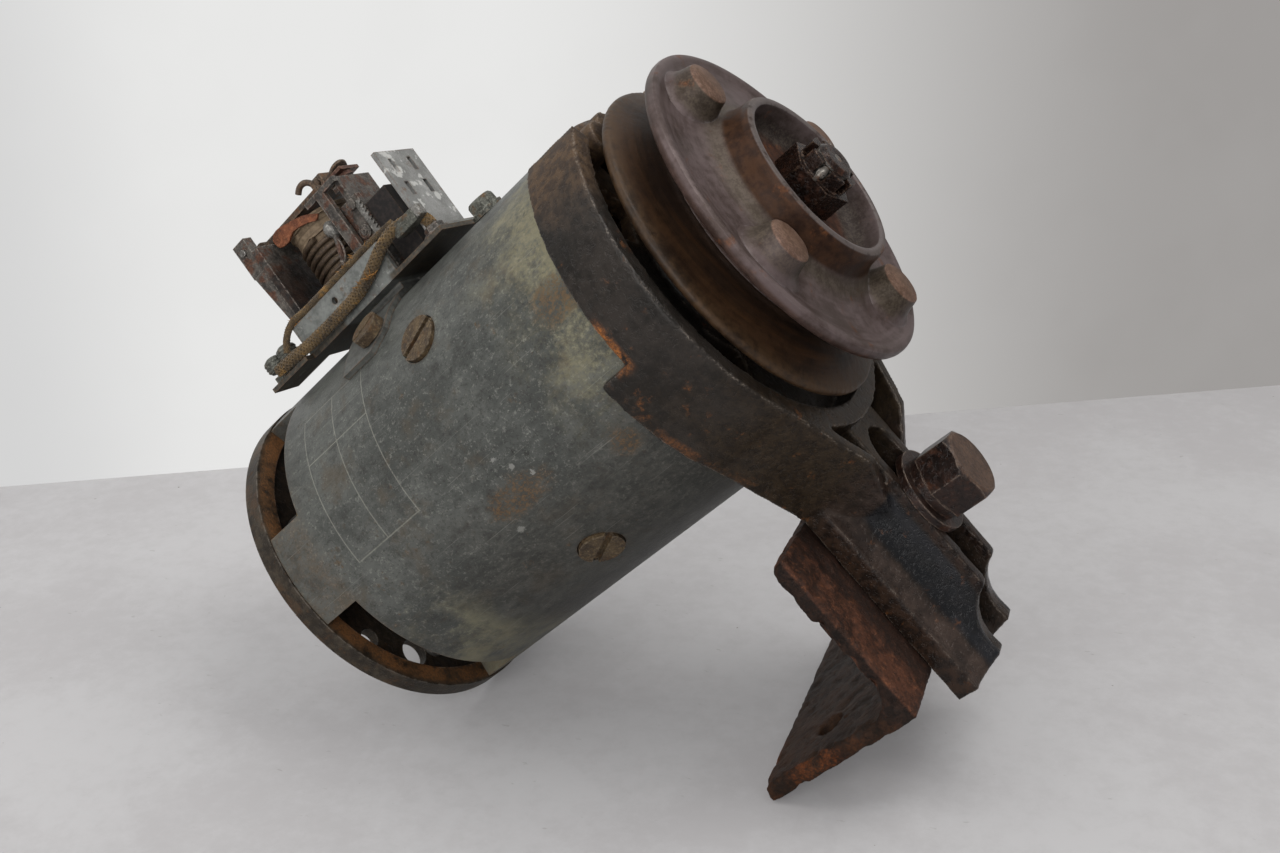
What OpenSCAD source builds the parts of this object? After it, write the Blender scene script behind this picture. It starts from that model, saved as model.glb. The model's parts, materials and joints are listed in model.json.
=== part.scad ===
// Belt-driven antique dynamo with a slotted mounting arm, an angle bracket and an open cut-out relay.
// Every piece is drawn with the shaft along Z, the mounting arm along +X and the width along Y.
// The whole machine is then leaned over, so that it rests on its end rim and on the bracket's foot.

/* [Yoke] */
// Outer diameter of the yoke tube
yoke_d = 114; // [108:1:120]
// Wall of the yoke tube
yoke_wall = 6; // [5:0.5:7]
// Length of the yoke tube between its two end castings
yoke_len = 145.5; // [143:0.5:160]
// Length of the inspection windows along the shaft
window_len = 15; // [11:0.5:18]
// Angle of the side pillars between the windows, from the arm
pillar_at = 101; // [96:1:106]
// Width of a pillar, as an angle
pillar_span = 32.6; // [26:0.2:40]

/* [Commutator end plate] */
// Width of the end plate's rim
rim_w = 6.5; // [5:0.5:8]
// How far the rim stands proud of the yoke
rim_proud = 0.6; // [0.2:0.1:1.5]
// Thickness of the end plate
plate_t = 3.5; // [2.5:0.5:4.5]
// Diameter of the bearing boss
boss_d = 26; // [23:1:30]
// How far the boss stands out behind the end plate
boss_out = 4; // [2:0.5:6]
// Diameter of the larger vent hole
vent_large_d = 9.5; // [7:0.5:10]
// Diameter of the smaller vent hole
vent_small_d = 6.5; // [4:0.5:7]

/* [Drive end bracket] */
// Thickness of the band round the yoke
band_t = 4.5; // [3.5:0.5:7]
// How far the band laps over the yoke
band_lap = 4.3; // [3:0.1:8]
// How far the band's lower half laps over the yoke, to the arm's back face
skirt_lap = 14; // [11:0.5:18]
// How far the band stands ahead of the yoke
band_ahead = 15; // [13:0.5:18]
// Half of the angle that the lower half of the band takes up
skirt_angle = 86; // [60:1:100]
// Angle at the top that the band leaves open
band_open = 56; // [40:1:64]
// Thickness of the web between the hub and the band
web_t = 5; // [4:0.5:7]
// Wall of the hub round the bearing
hub_wall = 8; // [7:0.5:10]

/* [Mounting arm] */
// Distance from the shaft to the arm's end
arm_reach = 142.4; // [140:0.1:150]
// Width of the arm
arm_w = 47; // [42:1:54]
// Thickness of the arm at its edges
arm_edge_t = 7.2; // [5:0.2:9]
// Height of the arm at its two rails
rail_h = 25; // [23:0.5:27]
// Width of one rail
rail_w = 4.85; // [4:0.05:7]
// Width of the adjusting slot
slot_w = 15; // [14:0.5:17]
// Distance from the shaft to the slot's inner end
slot_from = 66; // [64:0.5:70]
// Distance from the shaft to the slot's outer end
slot_to = 126; // [122:0.5:130]
// Distance from the shaft to where the rails start to fall
rail_to = 122; // [119:0.5:126]
// Radius of the scoop at the outer end of the rails
scoop_r = 16.2; // [12:0.2:18]

/* [Clamp and angle bracket] */
// Distance from the shaft to the clamp bolt
clamp_at = 91.6; // [90:0.2:96]
// Diameter of the clamp bolt
clamp_d = 12.7; // [10:0.1:13]
// Width across the flats of the clamp bolt's head and nut
clamp_af = 20.5; // [18:0.5:23]
// Height of the clamp bolt's head
clamp_head_h = 12; // [8:0.5:14]
// Width of the angle bracket
angle_w = 97; // [80:1:120]
// Thickness of the angle bracket
angle_t = 6; // [5:0.5:8]
// Length of the angle bracket's upright leg
angle_up = 58; // [52:0.5:59]
// Distance from the upright leg's edge to the clamp bolt
angle_hole_in = 18.6; // [17:0.2:19.6]
// Length of the angle bracket's foot
angle_foot = 56; // [48:1:64]
// Radius of the fillet in the angle bracket's corner
angle_fillet = 6; // [3:0.5:9]
// Diameter of the holes in the foot
foot_hole_d = 9; // [6:0.5:12]
// Distance between the holes in the foot
foot_hole_pitch = 64; // [50:1:70]
// Distance from the foot's free edge to the holes
foot_hole_in = 23; // [14:1:28]

/* [Shaft and bearings] */
// Diameter of the shaft through the armature
shaft_d = 17; // [15:0.5:18]
// Diameter of the shaft's journal in the bush
journal_d = 12; // [9:0.5:14]
// Diameter of the shaft under the pulley
pulley_seat_d = 15; // [13.5:0.5:15]
// Diameter of the shaft's threaded end
thread_d = 12; // [10:0.5:12]
// How far the shaft stands out of the castle nut
thread_out = 1.5; // [0.5:0.5:6]
// Outer diameter of the ball bearing
bearing_d = 40; // [38:0.5:42]
// Width of the ball bearing
bearing_w = 12; // [11:0.5:14]
// Diameter of a bearing ball
ball_d = 6.8; // [6:0.1:7.2]
// Number of bearing balls
ball_count = 8; // [6:1:9]
// Wall of the bronze bush
bush_wall = 3; // [2:0.5:4]

/* [Armature and field] */
// Diameter of the armature
armature_d = 72; // [66:1:74]
// Length of the armature's laminated core
core_len = 68; // [56:1:70]
// Gap between the armature and the pole shoes
air_gap = 0.5; // [0.3:0.1:1]
// Number of armature slots
slot_count = 20; // [16:1:22]
// Length of the winding's end turns
end_turn_len = 12; // [8:1:13]
// Diameter of the commutator
commutator_d = 38; // [34:1:40]
// Length of the commutator's brush track
commutator_len = 22; // [20:1:24]
// Number of commutator bars
bar_count = 24; // [16:1:30]
// Thickness of the pole shoes' tips
shoe_t = 4.5; // [3.5:0.5:5.5]
// Diameter of the pole screws' heads
pole_head_d = 14; // [12:0.5:15]
// Diameter of the pole screws
pole_screw_d = 8; // [6:0.5:9]

/* [Brush gear] */
// Width of a brush along the shaft
brush_w = 10; // [7:0.5:12]
// Thickness of a brush round the commutator
brush_t = 8; // [6:0.5:9]
// Length of a brush
brush_len = 12; // [10:0.5:13]
// Diameter of a brush arm's pin
brush_pin_d = 5; // [4:0.5:6]
// Diameter of the brush spring's wire
spring_wire = 0.9; // [0.7:0.1:1]
// Number of turns in a brush spring
spring_turns = 4; // [3:1:4]

/* [Pulley] */
// Outer diameter of the pulley's rear half
pulley_rear_d = 108; // [100:1:116]
// Outer diameter of the pulley's front half
pulley_front_d = 106; // [100:1:116]
// Diameter at the bottom of the belt groove
groove_d = 76; // [70:1:80]
// Gap between the bracket's band and the pulley
pulley_gap = 2.5; // [2:0.1:5]
// Width of the belt groove at the rim
groove_w = 13.5; // [12:0.5:16]
// Thickness of the pulley's rims
pulley_rim_t = 3; // [2:0.5:4]
// Diameter of the raised ring on the pulley's face
ring_d = 56; // [50:1:60]
// Wall of the raised ring
ring_wall = 3; // [2:0.5:4]
// Height of the raised ring above the dished face
ring_h = 4.5; // [3:0.5:6]
// Diameter of the rivet bosses
boss_end_d = 13; // [10:0.5:14]
// Diameter of the circle that the rivet bosses lie on
boss_pcd = 79; // [76:1:82]
// Angle of the first rivet boss
boss_from = 11; // [0:1:89]
// Width across the flats of the castle nut
castle_af = 19; // [17:0.5:22]

/* [Cut-out relay] */
// Angle of the relay round the yoke, from the arm
relay_at = 170; // [166:1:186]
// Distance from the yoke's end rim to the relay coil
relay_from_rim = 54.5; // [50:0.5:58]
// Diameter of the relay's coil
relay_coil_d = 24; // [22:0.5:27]
// Height of the relay's coil
relay_coil_h = 35; // [28:1:38]
// Diameter of the thick wire on the relay's coil
relay_wire_d = 1.8; // [1.4:0.1:2]
// Number of turns of the thick wire
relay_turns = 4; // [3:1:4]
// Thickness of the saddle strap
saddle_t = 2; // [1.5:0.1:3]
// Distance from the yoke's end rim to the saddle strap
saddle_from_rim = 67; // [58:0.5:76]
// Width of the saddle strap
saddle_w = 20; // [16:1:22]
// Angle that the saddle strap takes up
saddle_span = 90; // [84:1:100]
// Gap between the relay's frame and each side wall of its tray
tray_gap = 1.4; // [0.6:0.1:2.4]
// Height of the tray's side walls
tray_h = 12.5; // [10:0.5:14]
// Thickness of the relay's sheet metal
sheet_t = 1.6; // [1.2:0.1:2]
// Width of the relay's iron frame
relay_frame_w = 38; // [34:1:40]
// Thickness of the relay's iron frame
relay_frame_t = 3; // [2:0.5:3.5]
// Gap between the relay's core and its armature at rest
relay_gap = 1.6; // [1.2:0.1:2]
// Diameter of the braided leads
lead_d = 3.2; // [2.4:0.1:3.6]

/* [Hidden] */
$fn = 64;

// Clearances
seat = 0.02;
run = 0.05;
clear = 0.3;
cut = 1;

// Stations along the shaft, from the face of the end rim
yoke_end = rim_w + yoke_len;
band_rear = yoke_end - band_lap;
arm_back = yoke_end - skirt_lap;
band_front = yoke_end + band_ahead;
bearing_back = yoke_end - 3.5;
bearing_front = bearing_back + bearing_w;
web_front = yoke_end + web_t;
core_from = (rim_w + yoke_end) / 2 - core_len / 2 + 12;
core_to = core_from + core_len;
commutator_from = rim_w + 5.5;
commutator_to = commutator_from + commutator_len;
riser_w = 3;
retainer_t = 2.5;
pulley_back = band_front + pulley_gap;
groove_from = pulley_back + pulley_rim_t;
groove_to = groove_from + groove_w;
parting = groove_from + groove_w / 2;
rim_front = groove_to + pulley_rim_t + 1;
ring_base = rim_front + 6.5;
ring_front = ring_base + ring_h;
dish_floor = ring_base - 4.5;
washer_t = 1.6;
castle_h = 13;
crown_h = 4.5;
rivet_end = ring_base - 8;
face_dip = 1.2;
rivet_d = 7;
castle_from = dish_floor + washer_t;
castle_to = castle_from + castle_h;
shaft_to = castle_to + thread_out;

// Radii
yoke_r = yoke_d / 2;
bore_r = yoke_r - yoke_wall;
rim_r = yoke_r + rim_proud;
band_r = yoke_r + band_t;
band_in = yoke_r - 2;
band_from = band_open / 2 - 180;
armature_r = armature_d / 2;
pole_r = armature_r + air_gap;
shoe_r = pole_r + shoe_t;
through_bolt_d = 6;
through_bolt_r = bore_r - 4.5;
through_bolt_at = 95;
through_head_h = 6;
hub_r = bearing_d / 2 + hub_wall;
pitch_r = (shaft_d / 2 + bearing_d / 2) / 2;
race_gap = ball_d * 0.29;

// Pole pieces
pole_angles = [45, 135, 225, 315];
pole_half = 17;
shoe_half = 34;
coil_half = 31;
coil_end = 8;
pole_screw_at = (core_from + core_to) / 2;
pole_recess = 3;

// Mounting arm
rail_top = arm_back + rail_h;
rail_out = slot_w / 2 + rail_w;
arm_lip = arm_reach - 4.7;
arm_lip_top = rail_top - 10;
scoop_m = arm_lip - 2;
scoop_s = arm_lip_top + scoop_r;
gusset_at = 45;
gusset_tip = [slot_from + 20.5, rail_out + 1.7];
gusset_knee = 4;
gusset_drop = 10;
gusset_wall = 4.5;
lug_r = 5.5;

// Clamp and angle bracket
washer_d = clamp_af + 6.5;
clamp_washer_t = 2.5;
spring_washer_t = 3;
clamp_hole_d = clamp_d + 0.8;
clamp_nut_h = 10;
clamp_head_at = rail_top + clamp_washer_t + spring_washer_t;
angle_front = arm_back - run;
angle_back = angle_front - angle_t;
angle_top = clamp_at - angle_hole_in;
foot_out = angle_top + angle_up;
foot_tip = arm_back - angle_foot;
foot_hole_s = foot_tip + foot_hole_in;
toe_r = 2.5;

// Brush gear: the angle of each brush round the commutator
brush_at = [200, 290, 80];
brush_lift = 0.1;
brush_s = (commutator_from + commutator_to) / 2;
pivot_out = 15;
pivot_aside = 24;
brush_pivot = [commutator_d / 2 + pivot_out, pivot_aside];
brush_arm_t = 4;
brush_arm_s = commutator_from - 1.5;
brush_eye_r = brush_pin_d / 2 + 3;
spring_r = brush_pin_d / 2 + spring_wire / 2 + 0.7;
spring_pitch = spring_wire + 0.6;
pin_top = brush_arm_s + brush_arm_t + spring_pitch * spring_turns + 2.5;

// Relay: heights from the shaft's axis
saddle_r = yoke_r + seat;
saddle_out = saddle_r + saddle_t;
tray_low = saddle_out;
tray_high = tray_low + sheet_t;
tray_from = relay_from_rim - 18.5;
tray_to = relay_from_rim + 50;
tray_wall_to = relay_from_rim + 28;
tab_len = 18;
tab_w = 12;
tab_out = 4;
frame_high = tray_high + relay_frame_t;
frame_from = relay_from_rim - relay_coil_d / 2 - 1.5 - relay_frame_t;
coil_high = frame_high + relay_coil_h;
core_high = coil_high + 1.2;
hinge_h = core_high + relay_gap + 1;
relay_arm_t = 2;
relay_arm_w = 20;
relay_arm_low = core_high + relay_gap;
relay_core_d = 9;
bobbin_flange_t = 1.6;
bobbin_d = relay_coil_d - 2 * relay_wire_d - 0.4;
hinge_pin_d = 2.4;
hinge_s = frame_from - 2.4;
contact_s = relay_from_rim + relay_coil_d / 2 + 7;
contact_gap = 1.8;
contact_d = 5;
post_t = 2;
blade_t = 1.2;
blade_low = relay_arm_low + relay_arm_t;
insulator_from = contact_s + 6.5;
insulator_w = 10;
insulator_high = frame_high + 23;
guard_s = insulator_from + insulator_w + 5;
guard_high = insulator_high + 8;
guard_w = 21;
guard_q = 4.5;
saddle_screw_d = 5;
saddle_head_d = 11;
saddle_chamfer = 6;
saddle_pad = 32;
saddle_screw_s = saddle_from_rim + 4;
stud_pitch = 7;
tray_w = relay_frame_w + 2 * tray_gap + 2 * sheet_t;
tray_wall_q = tray_w / 2;
tray_top = tray_low + tray_h;

// How the machine rests: on the end rim and on the free edge of the foot
tilt = atan((foot_out - rim_r) / foot_tip);
low = -rim_r * cos(tilt);
ear_high = hinge_h + 4;
ear_m = ear_high * cos(relay_at) - relay_frame_w / 2 * sin(relay_at);
left_end = min(-rim_r * sin(tilt), ear_m * sin(tilt) + (hinge_s - 3) * cos(tilt));
head_top = clamp_head_at + clamp_head_h;
right_end = max((arm_reach - 2.2) * sin(tilt) + (arm_lip_top + 0.5) * cos(tilt),
    arm_reach * sin(tilt) + (arm_back + arm_edge_t) * cos(tilt),
    (clamp_at + clamp_af / 2 - 0.6) * sin(tilt) + head_top * cos(tilt));
middle = (left_end + right_end) / 2;

module resting() {
    translate([-middle, 0, -low]) rotate([0, 90 - tilt, 0]) children();
}

// A block bent round the shaft
module sector(from, span, r_in, r_out, s_from, s_to) {
    rotate([0, 0, from])
        rotate_extrude(angle = span)
            translate([r_in, s_from]) square([r_out - r_in, s_to - s_from]);
}

module ring(r_in, r_out, s_from, s_to) {
    translate([0, 0, s_from])
        difference() {
            cylinder(r = r_out, h = s_to - s_from);
            translate([0, 0, -cut]) cylinder(r = r_in, h = s_to - s_from + 2 * cut);
        }
}

module rod(d, s_from, s_to) {
    translate([0, 0, s_from]) cylinder(d = d, h = s_to - s_from);
}

// Places a child that stands along Z so that it points out from the shaft
module radial(angle, r, s) {
    rotate([0, 0, angle]) translate([r, 0, s]) rotate([0, 90, 0]) children();
}

// Extrudes an outline of (width, shaft) points along the arm, or one of (arm, shaft) points across it
module along_arm(from, to) {
    translate([from, 0, 0]) rotate([90, 0, 90]) linear_extrude(to - from) children();
}

module across(width) {
    rotate([90, 0, 0]) linear_extrude(width, center = true) children();
}

module hex_prism(af, h) {
    cylinder(d = af / cos(30), h = h, $fn = 6);
}

// Hexagon with its corners turned down to a cone on top
module turned_hex(af, h) {
    intersection() {
        hex_prism(af, h);
        rotate_extrude()
            polygon([[0, 0], [af / cos(30) / 2, 0], [af / cos(30) / 2, h - 1.6], [af / 2 - 0.6, h], [0, h]]);
    }
}

module slotted_head(d, h, slot) {
    difference() {
        cylinder(d = d, h = h);
        translate([-d, -slot / 2, h - 1.4]) cube([2 * d, slot, 2]);
    }
}

// Sweep of a round tube along points: each ring lies square to the route
function unit(v) = v / norm(v);
function heading(p, i) = unit(p[min(i + 1, len(p) - 1)] - p[max(i - 1, 0)]);
function side_of(t) = unit(cross(t, abs(t[2]) < 0.9 ? [0, 0, 1] : [1, 0, 0]));
// The ring's first corner is carried along, so that the tube doesn't twist
function carried(p, i, u) = i == 0 ? u : unit(u - (u * heading(p, i)) * heading(p, i));
function frames(p) = [for (i = 0, u = side_of(heading(p, 0)); i < len(p);
    i = i + 1, u = i < len(p) ? carried(p, i, u) : u) u];
function ring_points(c, t, u, r, n) = [for (k = [0:n - 1])
    c + r * cos(360 * k / n) * u + r * sin(360 * k / n) * cross(t, u)];
function tube_points(p, r, n) = let (f = frames(p))
    [for (i = [0:len(p) - 1]) each ring_points(p[i], heading(p, i), f[i], r, n)];
function tube_walls(rings, n) = [for (i = [0:rings - 2]) for (k = [0:n - 1])
    let (a = i * n + k, b = i * n + (k + 1) % n) each [[a, a + n, b], [b, a + n, b + n]]];
function tube_ends(rings, n) = let (last = (rings - 1) * n)
    [for (k = [1:n - 2]) each [[0, k, k + 1], [last, last + k + 1, last + k]]];

module tube(p, d, sides) {
    polyhedron(tube_points(p, d / 2, sides),
        concat(tube_walls(len(p), sides), tube_ends(len(p), sides)), convexity = 8);
}

// Points of a helix along X that ends in straight tails, square to its radius
function helix(r, pitch, turns, steps) = [for (i = [0:turns * steps])
    [pitch * i / steps, r * cos(360 * i / steps), r * sin(360 * i / steps)]];
function tailed(p, tail) = concat([p[0] - tail * unit(p[1] - p[0])], p,
    [p[len(p) - 1] + tail * unit(p[len(p) - 1] - p[len(p) - 2])]);
// Least distance between points of a winding that are at least half a turn apart, less the wire
function own_gap(p, steps, d) = min([for (i = [0:len(p) - 1]) for (j = [i + steps / 2:1:len(p) - 1])
    norm(p[i] - p[j])]) - d;

// Rounded corner of an outline: an arc about c from one angle to another
function arc(c, r, from, to, steps) = [for (i = [0:steps])
    c + r * [cos(from + (to - from) * i / steps), sin(from + (to - from) * i / steps)]];

/* Housing */

module yoke() {
    pillars = [0, pillar_at, 180, 360 - pillar_at, 360];
    color("slategray") resting() difference() {
        ring(bore_r, yoke_r, rim_w, yoke_end);
        for (i = [0:3])
            sector(pillars[i] + pillar_span / 2, pillars[i + 1] - pillars[i] - pillar_span,
                bore_r - cut, yoke_r + cut, rim_w - cut, rim_w + window_len);
        for (a = pole_angles) {
            radial(a, bore_r - cut, pole_screw_at)
                cylinder(d = pole_screw_d + 2 * run, h = yoke_wall + 2 * cut);
            radial(a, yoke_r - pole_recess, pole_screw_at)
                cylinder(d = pole_head_d + 2 * clear, h = 2 * pole_recess);
        }
        relay_screw_places()
            translate([0, 0, -yoke_wall - cut])
                cylinder(d = saddle_screw_d + 2 * seat, h = yoke_wall + 2 * cut);
        earth_screw_place()
            translate([0, 0, -yoke_wall - cut])
                cylinder(d = saddle_screw_d + 2 * seat, h = yoke_wall + 2 * cut);
    }
}

module commutator_end_plate() {
    color("dimgray") resting() difference() {
        union() {
            ring(bore_r, rim_r, 0, rim_w);
            rod(2 * bore_r + 2, 0, plate_t);
            rod(boss_d, -boss_out, commutator_from - 3);
        }
        rod(journal_d + 2 * bush_wall + 2 * seat, 0, commutator_from);
        for (side = [-1, 1]) {
            rotate([0, 0, side * 68]) translate([bore_r - 4, 0, -cut])
                cylinder(d = vent_small_d, h = plate_t + 2 * cut);
            rotate([0, 0, side * 46]) translate([bore_r - 6, 0, -cut])
                cylinder(d = vent_large_d, h = plate_t + 2 * cut);
        }
        through_bolt_places() rod(through_bolt_d + 2 * run, -cut, plate_t + cut);
        for (a = brush_at)
            brush_pivot_place(a) rod(brush_pin_d - 1 + 2 * seat, -cut, plate_t + cut);
    }
}

module through_bolt_places() {
    for (side = [-1, 1])
        rotate([0, 0, side * through_bolt_at]) translate([through_bolt_r, 0, 0]) children();
}

module through_bolts() {
    color("saddlebrown") resting() through_bolt_places() {
        rod(through_bolt_d, -cut, web_front + 2);
        translate([0, 0, -through_head_h]) cylinder(d = 9, h = through_head_h);
    }
}

// Flank of the arm: a quarter of an ellipse from the edge up to the rail
function flank(side) = [for (i = [0:8])
    [side * (arm_w / 2 - (arm_w / 2 - rail_out) * sin(i * 90 / 8)),
        rail_top - (rail_h - arm_edge_t) * cos(i * 90 / 8)]];

module arm_section() {
    mirrored = flank(-1);
    polygon(concat([[arm_w / 2, arm_back]], flank(1), [for (i = [8:-1:0]) mirrored[i]],
        [[-arm_w / 2, arm_back]]));
}

module arm_outline() {
    fall = asin((rail_top - scoop_s) / scoop_r);
    scoop = arc([scoop_m, scoop_s], scoop_r, 180 - fall, 277, 10);
    polygon(concat([[slot_from - 8, arm_back], [arm_reach, arm_back], [arm_reach, arm_back + arm_edge_t],
        [arm_reach - 2.2, arm_lip_top + 0.5]], [for (i = [10:-1:0]) scoop[i]],
        [[slot_from - 8, rail_top]]));
}

// Walls that run from the band to the rails
module gusset(inset) {
    leave = band_r * [cos(gusset_at), sin(gusset_at)];
    drop = inset * 1.18;
    polygon([[leave[0], leave[1] - drop], [gusset_tip[0], gusset_tip[1] - drop],
        [gusset_tip[0], drop - gusset_tip[1]], [leave[0], drop - leave[1]]]);
}

module gusset_outline() {
    from = band_r * cos(gusset_at) - 1;
    polygon([[from, arm_back], [gusset_tip[0], arm_back], [gusset_tip[0], band_front - gusset_drop],
        [slot_from + gusset_knee, band_front], [from, band_front]]);
}

module arm_body() {
    intersection() {
        along_arm(slot_from - 8, arm_reach) arm_section();
        across(arm_w) arm_outline();
    }
}

module drive_end_bracket() {
    color("dimgray") resting() difference() {
        union() {
            difference() {
                union() {
                    difference() {
                        sector(band_from, 360 - band_open, band_in - 3, band_r, arm_back, band_front);
                        sector(skirt_angle, 360 - 2 * skirt_angle, band_in - 4, band_r + cut,
                            arm_back - cut, band_rear);
                    }
                    difference() {
                        intersection() {
                            translate([0, 0, arm_back]) linear_extrude(band_front - arm_back) gusset(0);
                            across(2 * band_r) gusset_outline();
                        }
                        translate([0, 0, web_front]) linear_extrude(band_front) gusset(gusset_wall);
                    }
                }
                rod(2 * yoke_r + 2 * seat, arm_back - cut, yoke_end);
                rod(2 * band_in, yoke_end - cut, band_front + cut);
            }
            difference() {
                rod(2 * yoke_r, yoke_end, web_front);
                for (a = [140, 180, 220])
                    sector(a - 13, 26, hub_r + 3, yoke_r - 7, yoke_end - cut, web_front + cut);
                for (a = [-1, 1])
                    sector(a * 55 - 14, 28, hub_r + 3, yoke_r - 7, yoke_end - cut, web_front + cut);
            }
            rod(2 * hub_r, bearing_back - 2.5, bearing_front);
            difference() {
                arm_body();
                rod(2 * yoke_r + 2 * seat, arm_back - cut, yoke_end);
            }
            for (a = [-1, 0, 1])
                rotate([0, 0, 180 + 17 * a]) translate([yoke_r - lug_r - 1.5, 0, yoke_end])
                    cylinder(r = lug_r, h = band_ahead - 4 + 3 * abs(a));
        }
        rod(bearing_d + 2 * seat, bearing_back, bearing_front + cut);
        rod(shaft_d + 3, bearing_back - 3, bearing_back + cut);
        through_bolt_places() rod(through_bolt_d + 2 * seat, yoke_end - cut, web_front + cut);
        retainer_screw_places() rod(3 + 2 * seat, bearing_front - 8, bearing_front + cut);
        translate([slot_from + slot_w / 2, 0, arm_back - cut]) cylinder(d = slot_w, h = rail_h + 6);
        translate([slot_from + slot_w / 2, -slot_w / 2, arm_back - cut])
            cube([slot_to - slot_from - slot_w / 2, slot_w, rail_h + 6]);
        translate([slot_to - cut, -slot_w / 2, arm_back + 8]) cube([arm_reach, slot_w, rail_h]);
    }
}

module bearing_outer_race() {
    color("lightsteelblue") resting() difference() {
        ring(pitch_r + race_gap, bearing_d / 2, bearing_back, bearing_front);
        ball_track();
    }
}

module bearing_inner_race() {
    color("lightsteelblue") resting() difference() {
        ring(shaft_d / 2 + seat, pitch_r - race_gap, bearing_back, bearing_front);
        ball_track();
    }
}

module ball_track() {
    translate([0, 0, (bearing_back + bearing_front) / 2])
        rotate_extrude() translate([pitch_r, 0]) circle(d = ball_d + 2 * run);
}

module ball_places() {
    for (i = [0:ball_count - 1])
        rotate([0, 0, i * 360 / ball_count])
            translate([pitch_r, 0, (bearing_back + bearing_front) / 2]) children();
}

module bearing_balls() {
    color("silver") resting() ball_places() sphere(d = ball_d);
}

module bearing_cage() {
    middle_s = (bearing_back + bearing_front) / 2;
    color("darkgoldenrod") resting() difference() {
        ring(pitch_r - race_gap + clear, pitch_r + race_gap - clear,
            middle_s - ball_d * 0.62, middle_s + ball_d * 0.3);
        ball_places() sphere(d = ball_d + 4 * run);
    }
}

module retainer_screw_places() {
    for (i = [0:2])
        rotate([0, 0, 60 + 120 * i]) translate([bearing_d / 2 + 4, 0, 0]) children();
}

module bearing_retainer() {
    color("dimgray") resting() difference() {
        ring(pitch_r + race_gap + 0.4, hub_r, bearing_front, bearing_front + retainer_t);
        retainer_screw_places() rod(3 + 2 * run, bearing_front - cut, bearing_front + retainer_t + cut);
    }
}

module retainer_screws() {
    color("gray") resting() retainer_screw_places() {
        rod(3, bearing_front - 7, bearing_front + retainer_t + cut);
        translate([0, 0, bearing_front + retainer_t]) slotted_head(5.6, 2.4, 1);
    }
}

module commutator_bush() {
    color("peru") resting()
        ring(journal_d / 2 + run, journal_d / 2 + bush_wall, 0, commutator_from - 2);
}

module earth_screw_place() {
    radial(180, yoke_r, rim_w + 108) children();
}

module earth_screw() {
    color("darkolivegreen") resting() earth_screw_place() {
        translate([0, 0, -yoke_wall]) cylinder(d = saddle_screw_d, h = yoke_wall + cut);
        difference() {
            cylinder(d = 11, h = 1.6);
            translate([0, 0, -yoke_r]) rotate([0, 90, 0]) cylinder(r = yoke_r + seat, h = 20, center = true);
        }
        translate([0, 0, 1.4]) turned_hex(9, 4);
    }
}

/* Field */

module pole_shoes() {
    color("gray") resting() for (a = pole_angles) difference() {
        union() {
            sector(a - pole_half, 2 * pole_half, shoe_r - 2, bore_r - seat, core_from, core_to);
            sector(a - shoe_half, 2 * shoe_half, pole_r, shoe_r, core_from, core_to);
        }
        radial(a, pole_r + 3, pole_screw_at) cylinder(d = pole_screw_d + 2 * seat, h = bore_r);
    }
}

module field_coils() {
    color("tan") resting() for (a = pole_angles) difference() {
        sector(a - coil_half, 2 * coil_half, shoe_r + clear, bore_r - clear,
            core_from - coil_end, core_to + coil_end);
        sector(a - pole_half - 0.6, 2 * pole_half + 1.2, shoe_r - cut, bore_r + cut,
            core_from - clear, core_to + clear);
    }
}

module pole_screws() {
    color("sienna") resting() for (a = pole_angles) {
        radial(a, pole_r + 4, pole_screw_at)
            cylinder(d = pole_screw_d, h = yoke_r - pole_recess - pole_r - 3.5);
        radial(a, yoke_r - pole_recess, pole_screw_at)
            rotate([0, 0, 25]) slotted_head(pole_head_d, pole_recess + 1, 2.2);
    }
}

/* Armature */

module shaft() {
    steps = [[0, 1], [journal_d / 2, 1], [journal_d / 2, commutator_from - 1],
        [shaft_d / 2, commutator_from - 1], [shaft_d / 2, bearing_front], [pulley_seat_d / 2, bearing_front],
        [pulley_seat_d / 2, dish_floor - 0.5], [thread_d / 2, dish_floor - 0.5],
        [thread_d / 2, shaft_to - 1.2], [thread_d / 2 - 1.2, shaft_to], [0, shaft_to]];
    color("darkslategray") resting() difference() {
        rotate_extrude() polygon(steps);
        key_space(seat);
        split_pin_place() cylinder(d = 3, h = castle_af + 4, center = true);
    }
}

module armature_core() {
    slot_deep = armature_r * 0.3;
    color("saddlebrown") resting() difference() {
        ring(shaft_d / 2 + seat, armature_r, core_from, core_to);
        for (i = [0:slot_count - 1])
            rotate([0, 0, i * 360 / slot_count])
                translate([armature_r - slot_deep, -armature_r * 0.06, core_from - cut])
                    cube([slot_deep + cut, armature_r * 0.12, core_len + 2 * cut]);
    }
}

module armature_winding() {
    slot_deep = armature_r * 0.3;
    bar_w = armature_r * 0.12 - 2 * clear;
    end_r = armature_r - 1.5;
    bulge = [[end_r - slot_deep, 0], [end_r, 0], [end_r, end_turn_len * 0.6], [end_r - 3, end_turn_len],
        [end_r - slot_deep - 3, end_turn_len], [end_r - slot_deep - 3, 3]];
    color("maroon") resting() {
        for (i = [0:slot_count - 1])
            rotate([0, 0, i * 360 / slot_count])
                translate([armature_r - slot_deep + clear, -bar_w / 2, core_from - cut])
                    cube([slot_deep - 2 * clear - 0.6, bar_w, core_len + 2 * cut]);
        translate([0, 0, core_to + clear]) rotate_extrude() polygon(bulge);
        translate([0, 0, core_from - clear]) mirror([0, 0, 1]) rotate_extrude() polygon(bulge);
    }
}

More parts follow.
